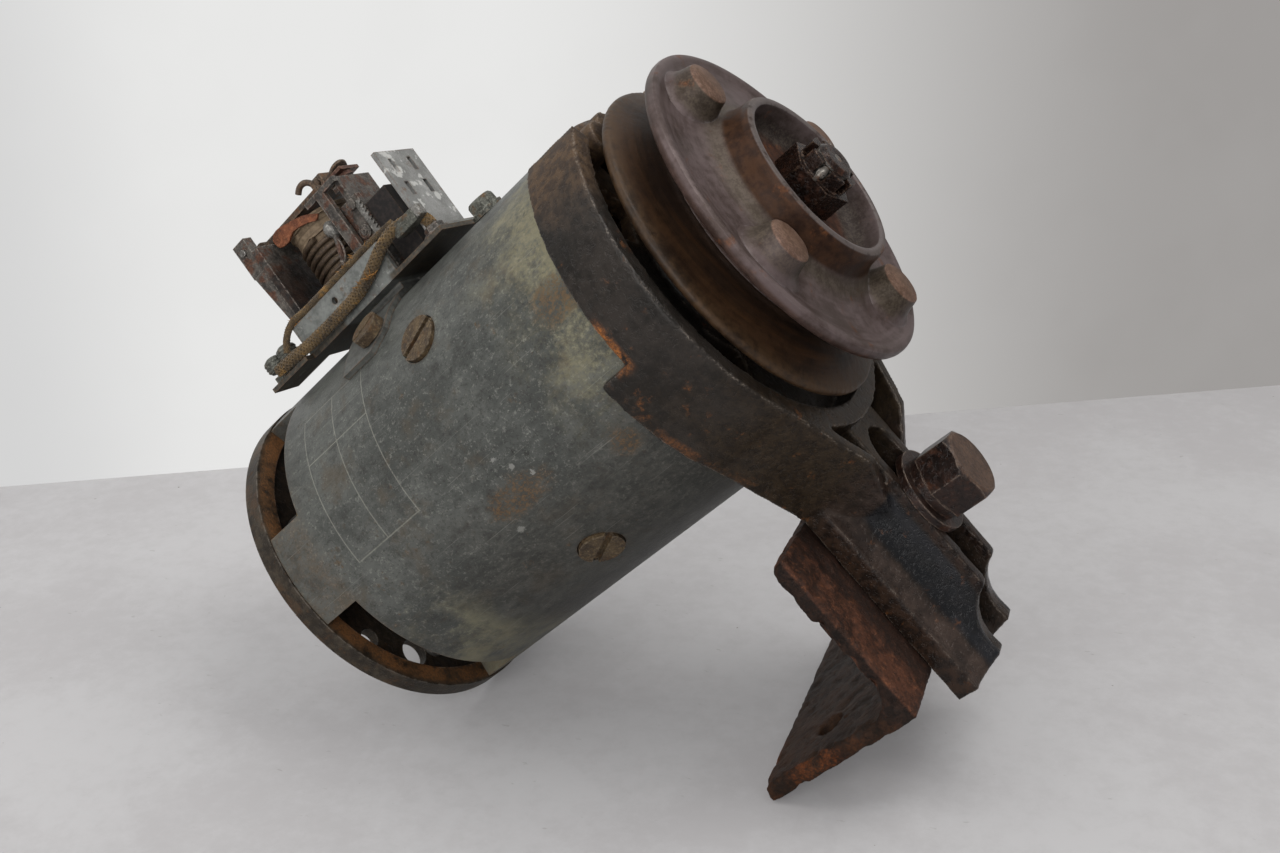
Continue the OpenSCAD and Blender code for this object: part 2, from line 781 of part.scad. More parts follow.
module commutator() {
    color("chocolate") resting() difference() {
        union() {
            ring(shaft_d / 2 + seat, commutator_d / 2, commutator_from, commutator_to);
            ring(shaft_d / 2 + seat, commutator_d / 2 + 3, commutator_to, commutator_to + riser_w);
        }
        for (i = [0:bar_count - 1])
            rotate([0, 0, i * 360 / bar_count])
                translate([commutator_d / 2 - 1.2, -0.35, commutator_from - cut])
                    cube([6, 0.7, commutator_len + riser_w + 2 * cut]);
    }
}

module distance_collar() {
    color("slategray") resting()
        ring(pulley_seat_d / 2 + seat, pitch_r - race_gap, bearing_front, pulley_back - 2);
}

/* Pulley */

module pulley_rear_half() {
    bore = pulley_seat_d / 2 + seat;
    bottom = groove_d / 2;
    rim = pulley_rear_d / 2;
    outline = [[bore, pulley_back - 2], [pitch_r, pulley_back - 2], [pitch_r + 3, pulley_back + 3],
        [bottom - 2, pulley_back + 3], [bottom + 5, pulley_back], [rim - 1, pulley_back],
        [rim, pulley_back + 1], [rim, groove_from - 0.6], [rim - 0.6, groove_from],
        [bottom, parting - 1], [bottom, parting], [bore, parting]];
    color("saddlebrown") resting() difference() {
        rotate_extrude($fn = 96) polygon(outline);
        key_space(seat);
        rivet_places() rod(rivet_d + 2 * seat, pulley_back - cut, parting + cut);
    }
}

// Front face of the pulley: a hollow curve from the rim up to the foot of the raised ring
function dished_face() = [for (i = [0:8]) let (t = i / 8)
    [pulley_front_d / 2 - 1.5 - (pulley_front_d / 2 - 1.5 - ring_d / 2 - 0.4) * t,
        rim_front + (ring_base - rim_front) * pow(t, 2.6) - face_dip * sin(180 * t)]];

module pulley_front_half() {
    bore = pulley_seat_d / 2 + seat;
    bottom = groove_d / 2;
    rim = pulley_front_d / 2;
    inner = ring_d / 2 - ring_wall;
    outline = concat([[bore, parting], [bottom, parting], [bottom, parting + 1],
        [rim - 0.6, groove_to], [rim, groove_to + 0.6], [rim, rim_front - 0.6]], dished_face(),
        [[ring_d / 2 - 0.4, ring_front - 0.6], [ring_d / 2 - 1, ring_front], [inner + 0.6, ring_front],
        [inner, ring_front - 0.6], [inner - 1, dish_floor + 2], [thread_d, dish_floor], [bore, dish_floor]]);
    color("rosybrown") resting() difference() {
        union() {
            rotate_extrude($fn = 96) polygon(outline);
            for (i = [0:3])
                rotate([0, 0, boss_from + 90 * i]) translate([boss_pcd / 2, 0, groove_to]) {
                    cylinder(d1 = boss_end_d + 9, d2 = boss_end_d + 1, h = ring_base - groove_to - 1.5);
                    cylinder(d = boss_end_d, h = ring_base - groove_to);
                }
        }
        key_space(seat);
        rivet_places() rod(rivet_d + 2 * seat, parting - cut, rivet_end + run);
    }
}

module rivet_places() {
    for (i = [0:3])
        rotate([0, 0, boss_from + 90 * i]) translate([groove_d / 2 - 7, 0, 0]) children();
}

module pulley_rivets() {
    color("sienna") resting() rivet_places() {
        rod(rivet_d, pulley_back + 1, rivet_end);
        translate([0, 0, pulley_back + 1.4]) cylinder(d = 10, h = 1.6);
    }
}

// The key lies half in the shaft and half in the pulley
module key_space(gap) {
    translate([pulley_seat_d / 2 - 2 - gap, -2 - gap, pulley_back - gap])
        cube([4 + 2 * gap, 4 + 2 * gap, 18 + 2 * gap]);
}

module pulley_key() {
    color("gray") resting() key_space(0);
}

module pulley_washer() {
    color("saddlebrown") resting() ring(thread_d / 2 + run, castle_af / 2 + 1, dish_floor, castle_from);
}

module split_pin_place() {
    translate([0, 0, castle_to - 2]) rotate([90, 0, 0]) children();
}

module castle_nut() {
    color("maroon") resting() difference() {
        union() {
            translate([0, 0, castle_from]) hex_prism(castle_af, castle_h - crown_h);
            translate([0, 0, castle_from]) cylinder(d = castle_af - 2, h = castle_h);
        }
        rod(thread_d + 2 * seat, castle_from - cut, castle_to + cut);
        for (i = [0:2])
            rotate([0, 0, 30 + 60 * i]) translate([-castle_af, -1.7, castle_to - 4])
                cube([2 * castle_af, 3.4, 5]);
    }
}

module split_pin() {
    eye = castle_af / 2 - 1;
    leg = 6;
    bend = eye + 2.2;
    color("silver") resting() split_pin_place() {
        cylinder(d = 2.6, h = 2 * bend, center = true);
        translate([0, 0, eye + 3]) rotate([0, 90, 0])
            rotate_extrude($fn = 24) translate([1.5, 0]) circle(d = 1.4, $fn = 16);
        translate([0, 0, -bend]) rotate([0, 72, 0]) cylinder(d = 1.5, h = leg);
        translate([0, 0, -bend]) rotate([0, -118, 0]) cylinder(d = 1.5, h = leg);
    }
}

/* Brush gear */

module brush_pivot_place(angle) {
    rotate([0, 0, angle]) translate([brush_pivot[0], brush_pivot[1], 0]) children();
}

module brush_pins() {
    color("gray") resting() for (a = brush_at) brush_pivot_place(a) {
        rod(brush_pin_d - 1, 0.3, plate_t + cut);
        rod(brush_pin_d + 3, plate_t, brush_arm_s - run);
        rod(brush_pin_d, plate_t, pin_top);
    }
}

module brush_arm(angle) {
    back = commutator_d / 2 + brush_lift + brush_len;
    box_from = back - 6;
    color("goldenrod") resting() rotate([0, 0, angle]) difference() {
        union() {
            translate([brush_pivot[0], brush_pivot[1], brush_arm_s])
                cylinder(r = brush_eye_r, h = brush_arm_t);
            translate([0, 0, brush_arm_s]) linear_extrude(brush_arm_t)
                polygon([[box_from, brush_t / 2], [back + 2, brush_t / 2],
                    [brush_pivot[0] + brush_eye_r * 0.7, brush_pivot[1] - 4],
                    [brush_pivot[0] - brush_eye_r * 0.7, brush_pivot[1] - 4]]);
            translate([box_from, -brush_t / 2 - 1.6, brush_arm_s])
                cube([back + 2 - box_from, brush_t + 3.2, brush_s + brush_w / 2 + 1.6 - brush_arm_s]);
        }
        translate([box_from - cut, -brush_t / 2 - seat, brush_s - brush_w / 2 - seat])
            cube([back - box_from + cut + seat, brush_t + 2 * seat, brush_w + 2 * seat]);
        translate([brush_pivot[0], brush_pivot[1], brush_arm_s - cut])
            cylinder(r = brush_pin_d / 2 + run, h = brush_arm_t + 2 * cut);
    }
}

module brush(angle) {
    color("dimgray") resting() rotate([0, 0, angle]) difference() {
        translate([commutator_d / 2 - 2, -brush_t / 2, brush_s - brush_w / 2])
            cube([brush_len + brush_lift + 2, brush_t, brush_w]);
        rod(commutator_d + 2 * brush_lift, brush_s - brush_w, brush_s + brush_w);
    }
}

// Coil round the pin whose outer end lies along the arm
module brush_spring(angle) {
    points = tailed(helix(spring_r, spring_pitch, spring_turns, 8), 3);
    color("steelblue") resting() brush_pivot_place(angle)
        translate([0, 0, brush_arm_s + brush_arm_t + spring_wire / 2 + 0.25]) rotate([0, -90, 0])
            tube(points, spring_wire, 6);
}

module brush_arm_a() { brush_arm(brush_at[0]); }
module brush_arm_b() { brush_arm(brush_at[1]); }
module brush_arm_c() { brush_arm(brush_at[2]); }
module brush_a() { brush(brush_at[0]); }
module brush_b() { brush(brush_at[1]); }
module brush_c() { brush(brush_at[2]); }
module brush_spring_a() { brush_spring(brush_at[0]); }
module brush_spring_b() { brush_spring(brush_at[1]); }
module brush_spring_c() { brush_spring(brush_at[2]); }

/* Clamp and angle bracket */

module clamp_bolt() {
    color("firebrick") resting() translate([clamp_at, 0, 0]) {
        rod(clamp_d, angle_back - clamp_nut_h - 3, clamp_head_at + cut);
        translate([0, 0, clamp_head_at]) rotate([0, 0, 22]) turned_hex(clamp_af, clamp_head_h);
    }
}

module clamp_washer() {
    color("sienna") resting() translate([clamp_at, 0, 0])
        ring(clamp_d / 2 + run, washer_d / 2, rail_top, rail_top + clamp_washer_t);
}

module clamp_spring_washer() {
    color("saddlebrown") resting() translate([clamp_at, 0, 0]) difference() {
        ring(clamp_d / 2 + run, clamp_af / 2, rail_top + clamp_washer_t, clamp_head_at);
        translate([0, -0.6, rail_top]) cube([washer_d, 1.2, clamp_washer_t + spring_washer_t + cut]);
    }
}

module clamp_nut() {
    color("sienna") resting() translate([clamp_at, 0, angle_back - run]) mirror([0, 0, 1]) difference() {
        turned_hex(clamp_af, clamp_nut_h);
        translate([0, 0, -cut]) cylinder(d = clamp_d + 2 * seat, h = clamp_nut_h + 2 * cut);
    }
}

module angle_outline() {
    inner = foot_out - angle_t;
    polygon(concat(
        [[angle_top, angle_front]],
        [[foot_out - 1, angle_front], [foot_out, angle_front - 1], [foot_out, foot_tip]],
        arc([inner + toe_r, foot_tip + toe_r], toe_r, 270, 180, 4),
        arc([inner - angle_fillet, angle_back - angle_fillet], angle_fillet, 0, 90, 6),
        arc([angle_top + toe_r, angle_back + toe_r], toe_r, 270, 180, 4)));
}

module angle_bracket() {
    color("brown") resting() difference() {
        across(angle_w) angle_outline();
        translate([clamp_at, 0, angle_back - cut]) cylinder(d = clamp_hole_d, h = angle_t + 2 * cut);
        for (side = [-1, 1])
            translate([foot_out - angle_t - cut, side * foot_hole_pitch / 2, foot_hole_s])
                rotate([0, 90, 0]) cylinder(d = foot_hole_d, h = angle_t + 2 * cut);
    }
}

/* Cut-out relay: X is the height from the shaft, Y runs towards the viewer's side and Z along the shaft */

module on_relay() {
    resting() rotate([0, 0, relay_at]) children();
}

module slab(h_from, h_to, q_from, q_to, s_from, s_to) {
    translate([h_from, q_from, s_from]) cube([h_to - h_from, q_to - q_from, s_to - s_from]);
}

module relay_screw_places() {
    for (side = [-1, 1])
        radial(relay_at + side * (saddle_span / 2 - 8), yoke_r, saddle_screw_s) children();
}

module relay_saddle() {
    half = saddle_w / 2;
    nick = saddle_chamfer * sqrt(2);
    color("gray") resting() difference() {
        union() {
            sector(relay_at - saddle_span / 2, saddle_span, bore_r, saddle_out,
                saddle_from_rim - half, saddle_from_rim + half);
            rotate([0, 0, relay_at])
                slab(bore_r, tray_low, -saddle_pad / 2, saddle_pad / 2,
                    saddle_from_rim - half, saddle_from_rim + half);
        }
        rod(2 * saddle_r, 0, yoke_end);
        for (side = [-1, 1])
            rotate([0, 0, relay_at + side * saddle_span / 2])
                translate([yoke_r, 0, saddle_from_rim + half])
                    rotate([45, 0, 0]) cube([4 * saddle_t + 6, nick, nick], center = true);
        relay_screw_places()
            translate([0, 0, -cut]) cylinder(d = saddle_screw_d + 2 * run, h = saddle_t + 3);
    }
}

module relay_screws() {
    color("peru") resting() relay_screw_places() {
        translate([0, 0, -yoke_wall]) cylinder(d = saddle_screw_d, h = yoke_wall + saddle_t + cut);
        translate([0, 0, saddle_t + 0.1]) rotate([0, 0, 30]) slotted_head(saddle_head_d, 3.4, 1.8);
    }
}

module relay_tray() {
    color("lightgray") on_relay() difference() {
        union() {
            slab(tray_low, tray_high, -tray_wall_q, tray_wall_q, tray_from, tray_to);
            slab(tray_low, tray_high, tray_wall_q + tab_out - tab_w, tray_wall_q + tab_out,
                tray_from - tab_len, tray_from + 1);
            for (side = [-1, 1])
                translate([0, side * (tray_wall_q - sheet_t / 2), 0])
                    slab(tray_low, tray_top, -sheet_t / 2, sheet_t / 2, tray_from, tray_wall_to);
        }
        translate([tray_low + tray_h * 0.7, 0, relay_from_rim + 2]) rotate([90, 0, 0])
            cylinder(d = 2.4, h = 2 * tray_w, center = true);
        stud_places() cylinder(d = 3 + 2 * seat, h = 4 * sheet_t, center = true);
    }
}

module stud_places() {
    for (i = [0, 1])
        translate([tray_high, tray_wall_q - 1, tray_from - 8 - stud_pitch * i]) rotate([0, 90, 0]) children();
}

module relay_frame() {
    half = relay_frame_w / 2;
    color("sienna") on_relay() difference() {
        union() {
            slab(tray_high, frame_high, -half, half, frame_from, relay_from_rim + relay_coil_d / 2 + 1);
            slab(tray_high, relay_arm_low - 0.5, -half, half, frame_from, frame_from + relay_frame_t);
            for (side = [-1, 1])
                translate([0, side * (half - 2), 0])
                    slab(relay_arm_low - 8, ear_high, -2, 2, hinge_s - 3, frame_from + 0.5);
        }
        hinge_place() cylinder(d = hinge_pin_d + 2 * seat, h = 2 * relay_frame_w, center = true);
        translate([tray_high - cut, 0, relay_from_rim]) rotate([0, 90, 0]) cylinder(d = 5 + 2 * seat, h = 10);
    }
}

module hinge_place() {
    translate([hinge_h, 0, hinge_s]) rotate([90, 0, 0]) children();
}

module relay_hinge_pin() {
    color("gray") on_relay() hinge_place() cylinder(d = hinge_pin_d, h = relay_frame_w + 2, center = true);
}

module relay_core() {
    color("darkgray") on_relay() translate([0, 0, relay_from_rim]) rotate([0, 90, 0]) {
        translate([0, 0, tray_high]) cylinder(d = 5, h = 10);
        translate([0, 0, frame_high]) cylinder(d = relay_core_d, h = core_high - frame_high);
    }
}

module relay_bobbin() {
    color("burlywood") on_relay() translate([frame_high, 0, relay_from_rim]) rotate([0, 90, 0]) difference() {
        union() {
            cylinder(d = bobbin_d, h = relay_coil_h);
            cylinder(d = relay_coil_d, h = bobbin_flange_t);
            translate([0, 0, relay_coil_h - bobbin_flange_t]) cylinder(d = relay_coil_d, h = bobbin_flange_t);
        }
        translate([0, 0, -cut]) cylinder(d = relay_core_d + 2 * seat, h = relay_coil_h + 2 * cut);
    }
}

// Thick outer winding: one wire in open turns round the bobbin
function winding_points() = tailed(helix(relay_coil_d / 2 - relay_wire_d / 2, relay_wire_d + 0.7,
    relay_turns, 24), relay_wire_d);
echo(relay_winding_gap = own_gap(winding_points(), 24, relay_wire_d));
echo(brush_spring_gap = own_gap(tailed(helix(spring_r, spring_pitch, spring_turns, 8), 3), 8, spring_wire));

module relay_winding() {
    height = (relay_wire_d + 0.7) * relay_turns;
    color("saddlebrown") on_relay()
        translate([frame_high + (relay_coil_h - height) / 2, 0, relay_from_rim])
            tube(winding_points(), relay_wire_d, 6);
}

module relay_armature() {
    half = relay_arm_w / 2;
    to = relay_from_rim + relay_coil_d / 2 + 2;
    color("peru") on_relay() difference() {
        union() {
            slab(relay_arm_low, relay_arm_low + relay_arm_t, -half, half, hinge_s, to);
            hinge_place() cylinder(r = 2.6, h = 2 * half, center = true);
        }
        hinge_place() cylinder(d = hinge_pin_d + 2 * run, h = relay_frame_w, center = true);
    }
}

module contact_blade() {
    color("chocolate") on_relay() {
        slab(blade_low, blade_low + blade_t, -5, 5, relay_from_rim, contact_s + 3);
        translate([blade_low - 1.4, 0, contact_s]) rotate([0, 90, 0])
            cylinder(d = contact_d, h = 1.4 + blade_t);
    }
}

// Upright strip with a cross-piece on top, beside the coil
module terminal_strip() {
    near = relay_arm_w / 2 + 3;
    top = relay_arm_low - 1.5;
    strip_s = relay_from_rim + relay_coil_d / 2 + 2;
    color("sienna") on_relay() {
        slab(tray_high, top, near, near + post_t, strip_s, strip_s + 4);
        slab(top - post_t, top, near, near + post_t, strip_s - 5, strip_s + 10);
        slab(tray_high, tray_high + post_t, near, tray_wall_q - sheet_t, strip_s, strip_s + 4);
    }
}

module contact_post() {
    top = blade_low - 1.4 - contact_gap;
    back = contact_s + 4;
    near = relay_arm_w / 2 + 1.5;
    color("sienna") on_relay() {
        slab(frame_high, top, -6, near, back - post_t, back);
        slab(top - post_t, top, -6, 6, contact_s - 3.5, back);
        translate([top - cut, 0, contact_s]) rotate([0, 90, 0]) cylinder(d = contact_d, h = cut + 0.6);
        slab(frame_high, frame_high + post_t, -6, 6, back - post_t, insulator_from);
        slab(frame_high + 11, frame_high + 28, near - post_t, near, contact_s - 4, insulator_from);
    }
}

module contact_insulator() {
    color("black") on_relay()
        slab(tray_high, insulator_high, -11, 11, insulator_from, insulator_from + insulator_w);
}

module guard_plate() {
    half = guard_w / 2;
    color("silver") on_relay() translate([0, guard_q, guard_s]) difference() {
        union() {
            slab(tray_high, guard_high, -half, half, 0, sheet_t);
            slab(tray_high, tray_high + sheet_t, -half, half, 0, 8);
        }
        for (row = [0, 1]) for (side = [-1, 1])
            slab(guard_high - 8 - 9 * row, guard_high - 3 - 9 * row, side * 5 - 1, side * 5 + 1,
                -cut, 2 * sheet_t);
    }
}

module terminal_studs() {
    color("darkslategray") on_relay() stud_places() {
        translate([0, 0, -sheet_t]) cylinder(d = 3, h = 11);
        hex_prism(5.4, 2.6);
        translate([0, 0, 4.4]) cylinder(d = 5.8, h = 3.6);
    }
}

// Routes of the two braided leads along the tray's wall, from its top or foot, its side and its end
upper_route = [[-5.5, 3, -5], [-1.5, 2.2, -2], [1.3, 0.4, 2], [1.3, -0.6, 9], [1.3, -0.6, 16],
    [1.3, -0.6, 23], [1.3, -0.6, 30], [1.3, -0.6, 37], [1.3, -0.8, 44], [1.3, -1.4, 49], [1.3, -2.6, 54]];
lower_route = [[4, 4.4, -11], [3.9, 4, -3], [3.6, 2.8, 4], [3.5, 2.4, 12], [3.5, 2.4, 20], [3.8, 2.4, 28],
    [4.6, 2.4, 35], [7, 2, 42], [9.5, 1.4, 48], [11, -0.4, 54], [10.8, -3.2, 59], [8.6, -4.6, 62.6],
    [5.4, -4.8, 63.6], [1.8, -4.8, 63.6]];

module upper_lead() {
    points = [for (p = upper_route) [tray_top + p[0], tray_wall_q + p[1], tray_from + p[2]]];
    color("goldenrod") on_relay() tube(points, lead_d * 0.6, 8);
}

module lower_lead() {
    points = [for (p = lower_route) [tray_low + p[0], tray_wall_q + p[1], tray_from + p[2]]];
    color("darkgoldenrod") on_relay() tube(points, lead_d, 8);
}

yoke();
commutator_end_plate();
drive_end_bracket();
pole_shoes();
field_coils();
pole_screws();
through_bolts();
commutator_bush();
brush_pins();
bearing_outer_race();
bearing_retainer();
retainer_screws();
earth_screw();
relay_saddle();
relay_screws();
relay_tray();
relay_frame();
relay_core();
relay_bobbin();
relay_winding();
relay_hinge_pin();
terminal_strip();
contact_post();
contact_insulator();
guard_plate();
terminal_studs();
upper_lead();
lower_lead();
shaft();
armature_core();
armature_winding();
commutator();
bearing_inner_race();
distance_collar();
pulley_rear_half();
pulley_front_half();
pulley_rivets();
pulley_key();
pulley_washer();
castle_nut();
split_pin();
bearing_cage();
bearing_balls();
relay_armature();
contact_blade();
brush_arm_a();
brush_a();
brush_spring_a();
brush_arm_b();
brush_b();
brush_spring_b();
brush_arm_c();
brush_c();
brush_spring_c();
clamp_bolt();
clamp_washer();
clamp_spring_washer();
clamp_nut();
angle_bracket();
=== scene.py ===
import json
import math
import random

import bmesh
import bpy
import numpy as np
from mathutils import Matrix, Vector, noise


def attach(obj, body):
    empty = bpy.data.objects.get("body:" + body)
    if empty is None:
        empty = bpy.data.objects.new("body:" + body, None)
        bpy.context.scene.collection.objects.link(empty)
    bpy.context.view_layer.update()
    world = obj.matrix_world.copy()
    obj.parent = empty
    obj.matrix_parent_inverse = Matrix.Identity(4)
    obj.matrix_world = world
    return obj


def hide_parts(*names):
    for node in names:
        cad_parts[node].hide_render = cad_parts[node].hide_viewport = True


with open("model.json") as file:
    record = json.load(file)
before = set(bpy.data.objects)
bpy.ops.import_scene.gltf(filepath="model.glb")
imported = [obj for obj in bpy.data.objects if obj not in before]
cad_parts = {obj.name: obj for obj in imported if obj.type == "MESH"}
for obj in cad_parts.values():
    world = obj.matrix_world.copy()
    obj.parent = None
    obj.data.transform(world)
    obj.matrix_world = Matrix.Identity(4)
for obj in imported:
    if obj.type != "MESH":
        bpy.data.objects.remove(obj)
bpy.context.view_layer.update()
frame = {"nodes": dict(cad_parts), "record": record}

NODES = frame["nodes"]
SCENE = bpy.context.scene

# The machine leans on its end rim and on the bracket's foot: mm along the arm, across, and along the shaft
TILT = math.radians(41.83242216724955)
ALONG = Vector((math.cos(TILT), 0, math.sin(TILT)))
ARM = Vector((math.sin(TILT), 0, -math.cos(TILT)))
ACROSS = Vector((0, 1, 0))
RIM_CENTRE = Vector((-0.08003519723993126, 0, 0.042917685537000644))
YOKE_RADIUS = 57
RELAY_AT = math.radians(170)
# mm: the relay coil's axis and its outside, the clamp bolt on the arm, and the ring of the pulley's bosses
COIL_AT, COIL_RADIUS = 54.5, 11.1
CLAMP_AT = 91.6
BOSS_RING, FIRST_BOSS = 39.5, 11
ALONG_WALL = Vector((0.897, 0.442, 0))


def on_machine(m, w, s):
    return RIM_CENTRE + (ARM * m + ACROSS * w + ALONG * s) / 1000


def on_relay(h, q, s):
    m = h * math.cos(RELAY_AT) - q * math.sin(RELAY_AT)
    w = h * math.sin(RELAY_AT) + q * math.cos(RELAY_AT)
    return on_machine(m, w, s)


def reflected(colour, light):
    """The share of light that a colour reflects, read from 0 to 255 under light of this strength."""
    def share(v):
        v /= 255
        return (v / 12.92 if v <= 0.04045 else ((v + 0.055) / 1.055) ** 2.4) / light
    return (*map(share, colour), 1.0)


def placed(name, data):
    made = bpy.data.objects.new(name, data)
    SCENE.collection.objects.link(made)
    return made


# Finishes


class Tone:
    """A value on its way through the nodes of a finish."""

    def __init__(self, finish, socket):
        self.finish, self.socket = finish, socket

    def sums(self, kind, first, second):
        return self.finish.node("ShaderNodeMath", {"operation": kind}, {0: first, 1: second})

    def __add__(self, other):
        return self.sums("ADD", self, other)

    def __sub__(self, other):
        return self.sums("SUBTRACT", self, other)

    def __rsub__(self, other):
        return self.sums("SUBTRACT", other, self)

    def __mul__(self, other):
        return self.sums("MULTIPLY", self, other)

    def __truediv__(self, other):
        return self.sums("DIVIDE", self, other)

    def __pow__(self, other):
        return self.sums("POWER", self, other)

    def __abs__(self):
        return self.sums("ABSOLUTE", self, 0.0)

    def most(self, other):
        return self.sums("MAXIMUM", self, other)

    __radd__ = __add__
    __rmul__ = __mul__


class Finish:
    """One material, laid in coats: patches, grain, rust and wear that are placed in mm on the machine."""

    def __init__(self, name, holder=None, light=1.25):
        self.material = holder or bpy.data.materials.new(name)
        self.material.use_nodes = True
        self.tree = self.material.node_tree
        self.tree.nodes.clear()
        self.light, self.colour, self.kept = light, None, {}

    def node(self, kind, settings=None, sockets=None, output=0):
        made = self.tree.nodes.new(kind)
        for key, value in (settings or {}).items():
            setattr(made, key, value)
        for key, value in (sockets or {}).items():
            if isinstance(value, Tone):
                self.tree.links.new(value.socket, made.inputs[key])
            else:
                made.inputs[key].default_value = value
        return Tone(self, made.outputs[output]) if len(made.outputs) else None

    def dot(self, first, second):
        return self.node("ShaderNodeVectorMath", {"operation": "DOT_PRODUCT"}, {0: first, 1: second}, "Value")

    def spot(self):
        """mm along the arm, across, and along the shaft."""
        if "spot" not in self.kept:
            here = self.node("ShaderNodeTexCoord", output="Object")
            self.kept["spot"] = [self.dot(here, axis * 1000) - RIM_CENTRE.dot(axis) * 1000
                                 for axis in (ARM, ACROSS, ALONG)]
        return self.kept["spot"]

    def radius(self):
        if "radius" not in self.kept:
            m, w, _ = self.spot()
            self.kept["radius"] = (m * m + w * w) ** 0.5
        return self.kept["radius"]

    def angle(self):
        """Degrees round the shaft from the arm; the photographed side is below zero."""
        if "angle" not in self.kept:
            m, w, _ = self.spot()
            self.kept["angle"] = w.sums("ARCTAN2", w, m) * (180 / math.pi)
        return self.kept["angle"]

    def relay_height(self):
        """mm out from the shaft towards the relay."""
        m, w, _ = self.spot()
        return m * math.cos(RELAY_AT) + w * math.sin(RELAY_AT)

    def place(self, turned=False):
        key = "turned" if turned else "place"
        if key not in self.kept:
            m, w, s = self.spot()
            if turned:
                r = self.radius()
                parts = [r + m / r * 4, s + w / r * 4, m / r * 3]
            else:
                parts = [m, w, s]
            self.kept[key] = self.node("ShaderNodeCombineXYZ", sockets=dict(enumerate(parts)))
        return self.kept[key]

    def grain(self, size, detail, harsh, shift, stretch=(1, 1, 1), turned=False):
        spread = self.node("ShaderNodeVectorMath", {"operation": "MULTIPLY_ADD"}, {
            0: self.place(turned), 1: [1 / (size * k) for k in stretch],
            2: (shift, shift * 1.7, -shift)}, "Vector")
        return self.node("ShaderNodeTexNoise", sockets={
            "Vector": spread, "Scale": 1.0, "Detail": detail, "Roughness": harsh})

    def step(self, value, low, high):
        return self.node("ShaderNodeMapRange", {"interpolation_type": "SMOOTHSTEP"},
                         {0: value, 1: low, 2: high})

    def near(self, value, middle, reach):
        """1 at the middle, falling to 0 at the reach."""
        return 1 - self.step(abs(value - middle), reach * 0.45, reach)

    def mix(self, first, second, share):
        first, second = (c if isinstance(c, Tone) else reflected(c, self.light) for c in (first, second))
        return self.node("ShaderNodeMix", {"data_type": "RGBA"}, {0: share, 6: first, 7: second}, 2)

    def ground(self, dark, light, pattern):
        self.colour = self.mix(dark, light, pattern)

    def over(self, colour, share):
        """One tone over part of what is there."""
        self.colour = self.mix(self.colour, colour, share)

    def coat(self, dark, light, pattern, share):
        """Two tones over part of what is there."""
        self.over(self.mix(dark, light, pattern), share)

    def eased(self, reach):
        return self.node("ShaderNodeBevel", {"samples": 4}, {"Radius": reach / 1000}, "Normal")

    def edges(self, reach):
        flat = self.node("ShaderNodeNewGeometry", output="True Normal")
        return self.step(1 - self.dot(self.eased(reach), flat), 0.01, 0.16)

    def backed(self, roughness, glow):
        """Paint of the room: part of it keeps its own colour where it is looked at; its back is clear."""
        paint = self.node("ShaderNodeBsdfPrincipled", sockets={
            "Base Color": self.colour, "Roughness": roughness})
        lit = self.node("ShaderNodeBsdfPrincipled", sockets={
            "Base Color": (0, 0, 0, 1), "Specular IOR Level": 0.0,
            "Emission Color": self.colour, "Emission Strength": 1.0})
        seen = self.node("ShaderNodeLightPath", output="Is Camera Ray").most(
            self.node("ShaderNodeLightPath", output="Is Glossy Ray")).most(
            self.node("ShaderNodeLightPath", output="Is Transmission Ray"))
        front = self.node("ShaderNodeMixShader", sockets={0: seen * glow, 1: paint, 2: lit})
        clear = self.node("ShaderNodeBsdfTransparent")
        behind = self.node("ShaderNodeNewGeometry", output="Backfacing")
        both = self.node("ShaderNodeMixShader", sockets={0: behind, 1: front, 2: clear})
        self.node("ShaderNodeOutputMaterial", sockets={"Surface": both})
        return self.material

    def laid(self, roughness, metallic, height, depth, ease=0.0, specular=0.25, sheen=0.0):
        under = {"Normal": self.eased(ease)} if ease else {}
        relief = self.node("ShaderNodeBump", sockets={
            "Strength": 1.0, "Distance": depth / 1000, "Height": height, **under})
        shader = self.node("ShaderNodeBsdfPrincipled", sockets={
            "Base Color": self.colour, "Roughness": roughness, "Metallic": metallic,
            "Specular IOR Level": specular, "Sheen Weight": sheen, "Normal": relief})
        self.node("ShaderNodeOutputMaterial", sockets={"Surface": shader})
        return self.material


def old_iron(name, tones, rust, cover, roughness, metallic, patch, shift, turned=False,
             depth=0.18, worn=None, wear=0.5):
    """Iron with two dark tones in patches, a dusty third, rust over part of it, pits, and worn edges."""
    f = Finish(name)
    broad = f.grain(patch, 4.0, 0.6, shift, turned=turned)
    fine = f.grain(patch / 5, 4.0, 0.62, shift + 7, turned=turned)
    dust = f.grain(0.9, 2.0, 0.7, shift + 11)
    f.ground(tones[0], tones[1], f.step(broad * 0.65 + fine * 0.35, 0.38, 0.62))
    f.over(tones[2], f.step(fine * 0.6 + dust * 0.4, 0.50, 0.66) * 0.7)
    rusted = f.step(f.grain(patch * 0.9, 5.0, 0.66, shift + 3, turned=turned), *cover)
    f.coat(*rust, f.step(dust * 0.5 + fine * 0.5, 0.40, 0.62), rusted * 0.85)
    if worn:
        f.over(worn, f.edges(0.8) * f.step(fine, 0.40, 0.60) * wear)
    pits = f.step(f.grain(1.3, 3.0, 0.7, shift + 5), 0.34, 0.50)
    height = pits * 0.55 + dust * 0.35 + fine * 0.5
    rough = roughness + (dust - 0.5) * 0.25 + rusted * 0.12
    return f.laid(rough, metallic, height, depth, 0.4)


